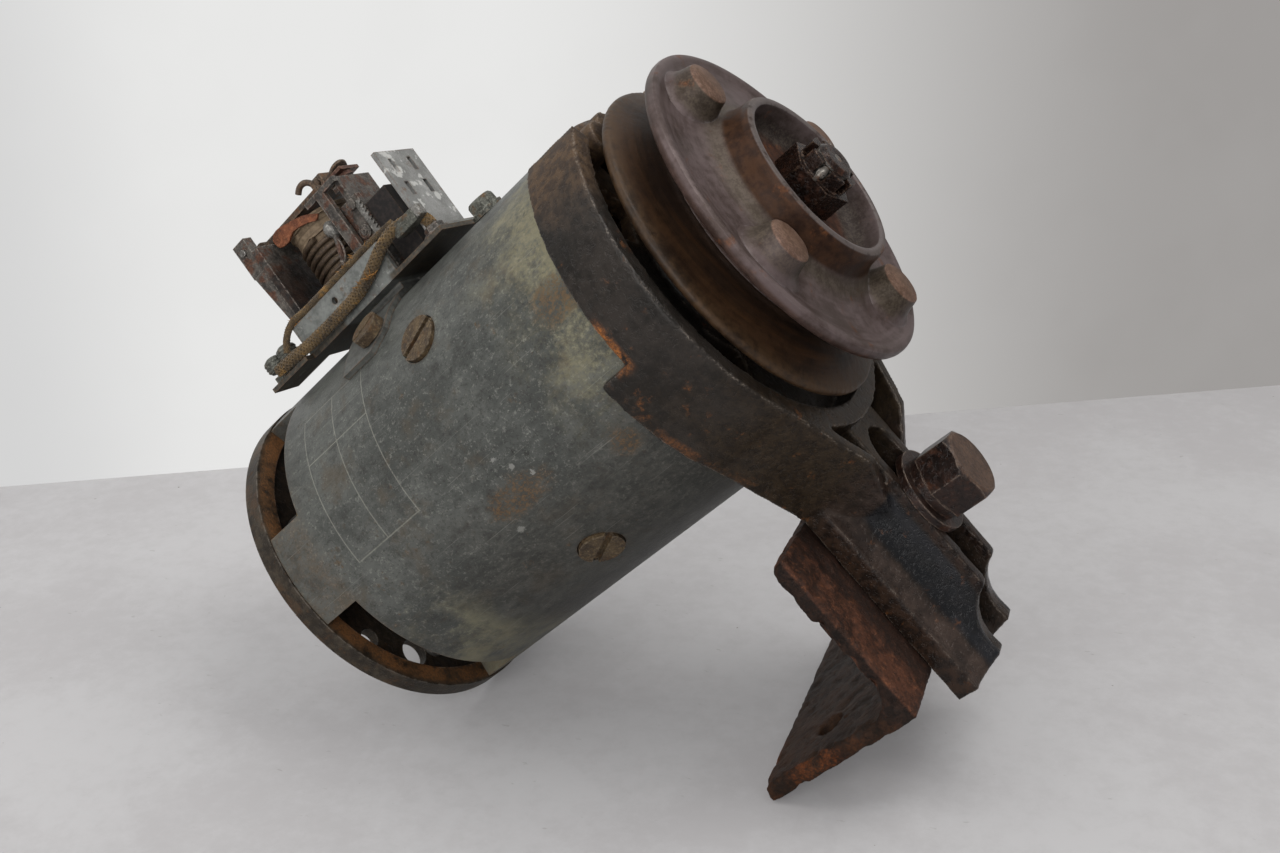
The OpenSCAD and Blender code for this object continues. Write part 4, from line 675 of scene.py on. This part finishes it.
def bands(rings, sides, closed=False):
    """Faces from each ring of points to the next; closed joins the last ring to the first."""
    pairs = [(i, (i + 1) % rings) for i in range(rings if closed else rings - 1)]
    return [[i * sides + k, i * sides + (k + 1) % sides, j * sides + (k + 1) % sides, j * sides + k]
            for i, j in pairs for k in range(sides)]


def caps(rings, sides):
    """Faces that shut the first ring and the last."""
    last = (rings - 1) * sides
    return [list(range(sides - 1, -1, -1)), list(range(last, last + sides))]


def circle(at, side, up, radius, steps, start=0.0):
    return [at + (side * math.cos(a) + up * math.sin(a)) * radius
            for a in (start + 2 * math.pi * k / steps for k in range(steps))]


def square_to(axis):
    """An axis and two directions square to it."""
    axis = Vector(axis).normalized()
    side = axis.orthogonal().normalized()
    return axis, side, axis.cross(side)


def carried_along(path):
    """Each point of a path with two directions square to it, which don't twist on the way."""
    side = None
    for i, at in enumerate(path):
        ahead = (path[min(i + 1, len(path) - 1)] - path[max(i - 1, 0)]).normalized()
        side = side or ahead.orthogonal()
        side = (side - ahead * side.dot(ahead)).normalized()
        yield at, side, ahead.cross(side)


def run_on(path, reach):
    """A path that runs on straight at both ends."""
    path = [Vector(p) for p in path]
    return [path[0] - (path[1] - path[0]).normalized() * reach, *path,
            path[-1] + (path[-1] - path[-2]).normalized() * reach]


class Form:
    """Points and faces gathered in mm on the machine or on the relay, then made one piece."""

    def __init__(self, where):
        self.where, self.points, self.faces = where, [], []

    def add(self, points, faces):
        first = len(self.points)
        self.points += [Vector(p) for p in points]
        self.faces += [[i + first for i in face] for face in faces]

    def tube(self, path, radius, sides):
        path = [Vector(p) for p in path]
        radii = radius if isinstance(radius, list) else [radius] * len(path)
        points = []
        for (at, side, up), r in zip(carried_along(path), radii):
            points += circle(at, side, up, r, sides)
        self.add(points, bands(len(path), sides) + caps(len(path), sides))

    def lathe(self, profile, at, axis, steps):
        """Turns a closed outline of (radius, distance along the axis) about the axis."""
        axis, side, up = square_to(axis)
        points = [Vector(at) + axis * z + (side * math.cos(a) + up * math.sin(a)) * r
                  for a in (2 * math.pi * k / steps for k in range(steps)) for r, z in profile]
        self.add(points, bands(steps, len(profile), closed=True))

    def block(self, low, high, ease):
        """A block with eased edges."""
        low, high = Vector(low), Vector(high)
        middle, size = (low + high) / 2, high - low
        shape = bmesh.new()
        bmesh.ops.create_cube(shape, size=1.0)
        for v in shape.verts:
            v.co = Vector(v.co[i] * size[i] for i in range(3))
        bmesh.ops.bevel(shape, geom=shape.edges[:], offset=ease, segments=2, profile=0.6, affect="EDGES")
        shape.verts.index_update()
        self.add([middle + v.co for v in shape.verts],
                 [[v.index for v in face.verts] for face in shape.faces])
        shape.free()

    def plate(self, outline, low, high):
        """A flat piece: an outline of height and distance along the shaft, from one side to the other."""
        self.add([(h, side, s) for side in (low, high) for h, s in outline],
                 bands(2, len(outline)) + caps(2, len(outline)))

    def hexagon(self, at, axis, across, height, turn=0.0):
        """A hexagon head with its corners turned off at the top."""
        axis, side, up = square_to(axis)
        corner = across / math.sqrt(3)
        points = []
        for z, share in ((0, 1), (height * 0.82, 1), (height, 0.88), (height, 0.55), (height * 0.94, 0.45)):
            points += circle(Vector(at) + axis * z, side, up, corner * share, 6, math.radians(turn))
        self.add(points, bands(5, 6) + caps(5, 6))

    def piece(self, name, body, slot, sharp=38.0, stands_for=(), finish=None):
        mesh = bpy.data.meshes.new(name)
        mesh.from_pydata([self.where(*p) for p in self.points], [], self.faces)
        put(name, mesh, body, slot, sharp, stands_for, finish)


def put(name, mesh, body, slot, sharp, stands_for, finish):
    """Makes a piece of the part from a mesh; it wears its slot's finish unless it is given another."""
    shape = bmesh.new()
    shape.from_mesh(mesh)
    bmesh.ops.recalc_face_normals(shape, faces=shape.faces)
    shape.to_mesh(mesh)
    shape.free()
    mesh.shade_smooth()
    mesh.set_sharp_from_angle(angle=math.radians(sharp))
    mesh.materials.clear()
    mesh.materials.append(finish or FINISHES[slot])
    made = placed(name, mesh)
    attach(made, body)
    if stands_for:
        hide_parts(*stands_for)


def smooth_route(points, spacing):
    """A soft curve through the points of a route."""
    points = [Vector(p) for p in points]
    route = []
    for i in range(len(points) - 1):
        a, b = points[i], points[i + 1]
        before, after = points[max(i - 1, 0)], points[min(i + 2, len(points) - 1)]
        count = max(2, round((b - a).length / spacing))
        for k in range(count):
            t = k / count
            route.append(0.5 * (2 * a + (b - before) * t + (2 * before - 5 * a + 4 * b - after) * t * t
                                + (3 * a - before - 3 * b + after) * t ** 3))
    return route + [points[-1]]


def cast_copy(name, node, body, slot, cell, faces, roughness, corrode=None, finish=None):
    """The node's own shape with cast corners: remeshed, eased, thinned out, and given a little unevenness."""
    shape = bmesh.new()
    shape.from_mesh(NODES[node].data)
    bmesh.ops.remove_doubles(shape, verts=shape.verts, dist=1e-6)
    mesh = bpy.data.meshes.new(name + "_rough")
    shape.to_mesh(mesh)
    shape.free()
    rough = placed(name + "_rough", mesh)
    remesh = rough.modifiers.new("cells", "REMESH")
    remesh.mode, remesh.voxel_size, remesh.use_smooth_shade = "VOXEL", cell / 1000, True
    ease = rough.modifiers.new("ease", "SMOOTH")
    ease.factor, ease.iterations = 0.5, 3
    bpy.context.view_layer.update()
    count = len(rough.evaluated_get(bpy.context.evaluated_depsgraph_get()).data.polygons)
    thin = rough.modifiers.new("thin", "DECIMATE")
    thin.ratio = min(1.0, faces / (count * 2))
    bpy.context.view_layer.update()
    made = bpy.data.meshes.new_from_object(rough.evaluated_get(bpy.context.evaluated_depsgraph_get()))
    made.name = name
    bpy.data.objects.remove(rough)
    points, normals = np.empty(len(made.vertices) * 3), np.empty(len(made.vertices) * 3)
    made.vertices.foreach_get("co", points)
    made.vertices.foreach_get("normal", normals)
    points, normals = points.reshape(-1, 3), normals.reshape(-1, 3)
    for i in range(len(points)):
        p = Vector(points[i] * 1000)
        depth = (noise.noise(p / 9) * 0.6 + noise.noise(p / 2.6) * 0.4) * roughness
        if corrode:
            depth -= corrode(p)
        points[i] += normals[i] * depth / 1000
    made.vertices.foreach_set("co", points.ravel())
    made.update()
    put(name, made, body, slot, 44.0, (node,), finish)


# Camera, light, floor and wall


def photographer():
    lens = bpy.data.cameras.new("photographer")
    lens.sensor_fit, lens.sensor_width, lens.lens = "HORIZONTAL", 36.0, 40.7309
    camera = placed("photographer", lens)
    right = Vector((0.94112, 0.33585, -0.03878))
    down = Vector((0.0908, -0.3616, -0.9279))
    ahead = Vector((-0.32566, 0.86974, -0.37081))
    turn = Matrix((right, -down, -ahead)).transposed().to_4x4()
    camera.matrix_world = Matrix.Translation((0.16041, -0.39296, 0.26333)) @ turn
    SCENE.camera = camera


def soft_light(name, at, aim, size, watts, colour):
    lamp = bpy.data.lights.new(name, "AREA")
    lamp.size, lamp.energy, lamp.color = size, watts, colour
    made = placed(name, lamp)
    made.location = at
    made.rotation_euler = (Vector(aim) - Vector(at)).to_track_quat("-Z", "Y").to_euler()


def sky_light():
    """Even light of the room."""
    f = Finish("sky_light", bpy.data.worlds.new("sky_light"))
    light = f.node("ShaderNodeBackground", sockets={"Color": (0.44, 0.44, 0.445, 1), "Strength": 1.0})
    f.node("ShaderNodeOutputWorld", sockets={"Surface": light})
    SCENE.world = f.material


def bench_paint():
    """Pale bench: faint smears, a few dark crumbs and scuffs."""
    f = Finish("bench_paint", light=1)
    broad = f.grain(90.0, 3.0, 0.6, 2.0)
    fine = f.grain(7.0, 4.0, 0.7, 6.0)
    f.ground((170, 168, 169), (178, 177, 178), f.step(broad * 0.6 + fine * 0.4, 0.38, 0.62))
    crumbs = f.step(f.grain(3.6, 2.0, 0.5, 33.0), 0.785, 0.80)
    scuff = f.step(f.grain(5.0, 3.0, 0.6, 14.0, (5.0, 0.5, 1.0)), 0.70, 0.76)
    f.over((96, 88, 80), (crumbs * 0.8).most(scuff * 0.25))
    return f.backed(0.55, 0.22)


def wall_paint():
    """Pale wall with painted light: brightest left of the middle and shaded grey to the right."""
    f = Finish("wall_paint", light=1)
    here = f.node("ShaderNodeTexCoord", output="Object")
    along = f.dot(here, ALONG_WALL)
    # painted light and shade: the wall's colour grows grey to the right and a little darker at the far left
    f.ground((232, 232, 231), (158, 155, 153), f.step(along, -0.04, 0.30))
    f.over((212, 212, 212), 1 - f.step(along, -0.26, -0.15))
    f.over((200, 199, 198), f.step(f.grain(90.0, 3.0, 0.6, 3.0), 0.4, 0.6) * 0.05)
    return f.backed(0.7, 1.0)


def sheet(name, corners, finish):
    mesh = bpy.data.meshes.new(name)
    mesh.from_pydata(corners, [], [list(range(len(corners)))])
    mesh.materials.append(finish)
    made = placed(name, mesh)


photographer()
sheet("bench", [(-3, -3, 0), (3, -3, 0), (3, 3, 0), (-3, 3, 0)], bench_paint())
foot_left = Vector((-0.3347, 0.0809, 0))
wall_low, wall_high = foot_left - ALONG_WALL * 2.0, foot_left + ALONG_WALL * 2.6
up = Vector((0, 0, 1.6))
sheet("wall", [wall_low, wall_high, wall_high + up, wall_low + up], wall_paint())
soft_light("window", (-0.75, -0.35, 1.05), (0, 0, 0.09), 0.9, 6.0, (1.0, 0.985, 0.96))
soft_light("front", (0.05, -1.2, 0.62), (0, 0, 0.04), 1.0, 11.5, (1.0, 0.99, 0.98))
soft_light("ceiling", (0.45, 0.22, 1.2), (0, 0, 0.09), 0.8, 10.5, (1.0, 0.99, 0.97))
sky_light()
SCENE.view_settings.view_transform = "Standard"


# Every node takes its finish

slots = {part["node"]: part["material_slot"] for part in frame["record"]["subparts"]}
for name, node in NODES.items():
    node.data.materials.clear()
    node.data.materials.append(FINISHES[slots[name]])

# Castings with eased corners

cast_copy("drive_end_casting", "drive_end_bracket", "housing", "end_casting", 0.75, 70000, 0.10,
          finish=CASTING)

front = Form(on_machine)
disc = [(7.6, 179.3), (38.0, 179.3), (38.0, 180.3), (52.2, 185.9), (52.8, 186.5), (53.1, 187.4),
        (53.1, 188.6), (52.8, 189.5), (52.1, 190.0), (51.0, 190.1), (50.0, 189.8), (48.6, 189.3),
        (46.0, 188.9), (43.0, 188.75), (40.0, 188.85), (37.0, 189.3), (34.4, 189.9), (32.2, 190.8),
        (30.6, 192.0), (29.4, 193.7), (28.8, 195.8), (28.5, 198.0), (28.3, 199.8), (27.8, 200.6),
        (26.9, 201.0), (25.9, 201.0), (25.3, 200.6), (25.0, 199.8), (24.7, 196.4), (24.1, 194.4),
        (22.6, 193.1), (18.0, 192.4), (12.0, 192.05), (7.6, 192.0)]
boss = [(0.01, 187.0), (12.6, 187.0), (12.4, 188.5), (10.7, 189.1), (9.3, 190.2), (8.3, 191.8), (7.6, 193.6),
        (7.1, 195.4), (6.8, 196.2), (6.3, 196.55), (0.01, 196.7)]
front.lathe(disc, (0, 0, 0), (0, 0, 1), 180)
for i in range(4):
    a = math.radians(FIRST_BOSS + 90 * i)
    front.lathe(boss, (BOSS_RING * math.cos(a), BOSS_RING * math.sin(a), 0), (0, 0, 1), 48)
front.piece("front_pulley", "rotor", "pulley_front_iron", 34.0, ("pulley_front_half",))
cast_copy("rear_pulley", "pulley_rear_half", "rotor", "pulley_rear_iron", 0.7, 40000, 0.08)
thread = Form(on_machine)
thread.lathe([(0.01, 205.6), (5.9, 205.6), (6.12, 206.0), (5.75, 206.4), (6.12, 206.8), (5.7, 207.3),
              (5.0, 208.1), (1.7, 208.2), (0.01, 207.5)], (0, 0, 0), (0, 0, 1), 40)
thread.piece("shaft_thread", "rotor", "nut_rust")


def ramp(share):
    """A share kept between none and all."""
    return max(0.0, min(1.0, share))


def bracket_scale(p):
    """Flakes lost from the bracket, its notched edge, and the seat that the clamp's nut has rubbed flat."""
    large, small = noise.noise(p / 5.5), noise.noise(p / 2.2 + Vector((9, 3, 1)))
    flake = max(0.0, large - 0.12) * 1.5 + max(0.0, small - 0.2) * 0.9
    from_rim = p / 1000 - RIM_CENTRE
    m, w, s = (from_rim.dot(axis) * 1000 for axis in (ARM, ACROSS, ALONG))
    notch = ramp(min((m - 92) / 1.5, (121 - m) / 6)) * ramp((-45.5 - w) / 2) * ramp((136 - s) / 2.5)
    seat = ramp((14 - math.hypot(m - CLAMP_AT, w)) / 2) * 0.35
    return min(0.7, flake) + notch * (1.3 + noise.noise(p / 4)) + seat


cast_copy("rusted_angle", "angle_bracket", "angle_bracket", "bracket_rust", 0.9, 40000, 0.25, bracket_scale)


# Leads, winding and springs


def braid(name, node, route, diameter):
    form = Form(on_relay)
    path = smooth_route(route, 0.7)
    r = diameter / 2
    form.tube(path, r * 0.80, 10)
    turns = sum((b - a).length for a, b in zip(path, path[1:])) / (diameter * 2.3)
    for way in (-1, 1):
        for k in range(7):
            strand = []
            for i, (at, side, up) in enumerate(carried_along(path)):
                a = way * 2 * math.pi * turns * i / (len(path) - 1) + 2 * math.pi * k / 7
                lift = r * (0.84 + 0.05 * way * math.cos(7 * a))
                strand.append(at + (side * math.cos(a) + up * math.sin(a)) * lift)
            form.tube(strand, r * 0.17, 5)
    form.piece(name, "housing", "braided_lead", 60.0, (node,))


UPPER = [(66.02, 25, 31), (70.02, 24.2, 34), (72.82, 22.4, 38), (72.82, 21.4, 45), (72.82, 21.4, 52),
         (72.82, 21.4, 59), (72.82, 21.4, 66), (72.82, 21.4, 73), (72.82, 21.2, 80), (72.82, 20.6, 85),
         (72.82, 19.4, 90)]
LOWER = [(63.02, 26.4, 25), (62.92, 26, 33), (62.62, 24.8, 40), (62.52, 24.4, 48), (62.52, 24.4, 56),
         (62.82, 24.4, 64), (63.62, 24.4, 71), (66.02, 24, 78), (68.52, 23.4, 84), (70.02, 21.6, 90),
         (69.82, 18.8, 95), (67.62, 17.4, 98.6), (64.42, 17.2, 99.6), (60.82, 17.2, 99.6)]
braid("upper_braid", "upper_lead", UPPER, 2.4)
braid("lower_braid", "lower_lead", LOWER, 4.1)

coil = Form(on_relay)
turns = [(76.12 + 2.5 * i / 48, COIL_RADIUS * math.cos(2 * math.pi * i / 48),
          COIL_AT + COIL_RADIUS * math.sin(2 * math.pi * i / 48)) for i in range(6 * 48 + 1)]
coil.tube(run_on(turns, 1.8), 0.9, 14)
coil.piece("coil_turns", "housing", "relay_copper", 60.0, ("relay_winding",))


def wrap(form, low, high, seed):
    """A torn paper sleeve round the coil, creased and uneven."""
    rows, steps = 12, 56
    points = []
    for j in range(rows + 3):
        t = min(max((j - 1) / rows, 0), 1)
        for k in range(steps):
            a = 2 * math.pi * k / steps
            around = Vector((3 * math.cos(a), 3 * math.sin(a), seed))
            h = low + (high - low) * t + 0.9 * noise.noise(around * 1.3) * abs(2 * t - 1) ** 6
            crease = 0.45 * noise.noise(Vector((around.x, around.y, seed + h * 0.4)))
            r = 9.9 if j in (0, rows + 2) else COIL_RADIUS + crease
            points.append((h, r * math.cos(a), COIL_AT + r * math.sin(a)))
    form.add(points, bands(rows + 3, steps, closed=True))


paper = Form(on_relay)
wrap(paper, 64.9, 75.3, 3)
wrap(paper, 92.0, 97.0, 8)
paper.piece("paper_wraps", "housing", "coil_paper", 50.0)

leaf = Form(on_relay)
edge = [(95.5, 0, 64.5), (98.6, 0, 59.8), (101.1, 0, 52.3), (102.2, 0, 46.7), (100.6, 0, 43.7),
        (97.2, 0, 44.3), (96.2, 0, 48.3), (97.5, 0, 52.6), (96.1, 0, 58.6), (94.3, 0, 62.6), (95.5, 0, 64.5)]
leaf.plate([(p.x, p.z) for p in smooth_route(edge, 0.9)[:-1]], 12.3, 13.1)
leaf.piece("fibre_leaf", "housing", "coil_paper", finish=FIBRE)

toothed = Form(on_relay)
teeth = [(74.8, 77.6)]
for i in range(9):
    teeth += [(74.9 + 1.6 * i, 79.2), (75.7 + 1.6 * i, 80.5)]
toothed.plate(teeth + [(89.4, 79.0), (89.4, 77.6)], 11.52, 12.2)
drop = [(85.6, 12.6, 65.2), (86.6, 12.5, 65.2), (87.8, 12.4, 65.0), (89.0, 12.3, 64.9), (90.2, 12.3, 64.7),
        (91.2, 12.3, 64.5), (91.8, 12.3, 64.4)]
toothed.tube(drop, [0.8, 1.9, 2.5, 2.7, 2.3, 1.4, 0.3], 16)
toothed.block((67.0, 18.6, 99.2), (71.2, 22.4, 102.2), 0.9)
toothed.piece("solder_and_teeth", "housing", "zinc_sheet", finish=SOLDER)

clips = Form(on_relay)
clips.tube([(86.5, 12.9, 65.3), (82.0, 13.6, 64.3), (78.4, 14.2, 63.2), (76.4, 14.4, 62.6)],
           [0.9, 1.1, 1.0, 0.7], 10)
curl = [(84.0, 14.2, 66.2), (80.5, 15.6, 66.8), (77.6, 15.9, 65.6), (76.6, 15.4, 63.6), (78.2, 14.8, 62.2)]
clips.tube(smooth_route(curl, 0.5), 0.36, 8)
clips.hexagon((89.5, 11.5, 76.6), (0, 1, 0), 3.6, 1.3)
clips.hexagon((80.0, 11.5, 74.9), (0, 1, 0), 2.3, 1.6)
clips.hexagon((61.3, 17.2, 99.6), (1, 0, 0), 6.0, 2.4, 12.0)
clips.lathe([(1.2, 0.0), (2.3, 0.0), (2.3, 0.8), (1.2, 0.8)], (80.0, 11.5, 74.9), (0, 1, 0), 24)
clips.lathe([(1.9, 0.0), (4.6, 0.0), (4.6, 0.7), (1.9, 0.7)], (60.65, 17.2, 99.6), (1, 0, 0), 32)
for low, high in ((17.4, 19.0), (-19.0, -17.4)):
    clips.plate([(94.2, 32.9), (94.2, 38.2), (61.0, 38.2), (61.0, 36.9), (66.0, 36.3)], low, high)
clips.piece("relay_clips", "housing", "relay_iron")

knobs = Form(on_relay)
for s in (28.0, 21.0):
    knobs.lathe([(0.01, 65.4), (3.1, 65.4), (3.6, 65.9), (3.4, 66.5), (3.7, 67.1), (3.4, 67.7), (3.7, 68.3),
                 (3.3, 69.2), (2.2, 70.0), (0.01, 70.2)], (0, 21.0, s), (1, 0, 0), 28)
knobs.block((66.6, 17.8, 89.8), (71.0, 22.8, 100.0), 0.7)
knobs.piece("terminal_knobs", "housing", "grey_screw")

carried = Form(on_relay)
carried.block((104.5, -3.0, 61.6), (109.0, 3.4, 67.0), 0.6)
carried.block((104.3, -4.6, 67.0), (108.4, 4.6, 68.2), 0.3)
carried.lathe([(0.01, 0.0), (4.0, 0.0), (4.3, 0.5), (4.0, 1.1), (0.01, 1.3)],
              (105.2, 0.0, 72.2), (0.9, 0.0, -0.44), 28)
hook = [(105.4, 0.4, 62.0), (109.4, 0.4, 60.8), (111.5, 0.4, 58.6), (111.7, 0.4, 56.0), (110.4, 0.4, 53.9)]
carried.tube(smooth_route(hook, 0.6), 1.1, 10)
carried.hexagon((106.6, 3.3, 64.4), (0, 1, 0), 3.4, 1.2)
carried.piece("tongue_clamp", "relay_armature", "tongue_iron")

frays = Form(on_relay)
threads = random.Random(11)
for i in range(64):
    if i < 30:
        at = Vector((72.6, 21.6, 64 + 18 * threads.random()))
    elif i < 52:
        at = Vector((63.4, 25.2, 69 + 9 * threads.random()))
    else:
        at = Vector((71.5, 22.0, 36 + 4 * threads.random()))
    way = Vector((threads.uniform(0.1, 1.0), threads.uniform(-0.6, 1.0), threads.uniform(-1.4, 1.4)))
    way.normalize()
    sag = Vector((threads.uniform(-0.8, 0.2), threads.uniform(-0.5, 0.5), threads.uniform(-0.6, 0.6)))
    reach = threads.uniform(1.6, 3.6)
    frays.tube([at + way * reach * t + sag * t * t for t in (0, 0.34, 0.67, 1)], [0.17, 0.15, 0.12, 0.06], 5)
frays.piece("frayed_threads", "housing", "braided_lead", 60.0, finish=FRAYED)

for key, at in zip("abc", (200, 290, 80)):
    a = math.radians(at)
    spring = Form(on_machine)
    path = []
    for i in range(4 * 32 + 1):
        b = 2 * math.pi * i / 32
        x, y = 34 - 3.65 * math.sin(b), 24 + 3.65 * math.cos(b)
        path.append(Vector((x * math.cos(a) - y * math.sin(a), x * math.sin(a) + y * math.cos(a),
                            15.2 + 1.5 * i / 32)))
    spring.tube(run_on(path, 3), 0.45, 10)
    spring.piece("brush_coil_" + key, "brush_arm_" + key, "spring_steel", 60.0,
                 ("brush_spring_" + key,))
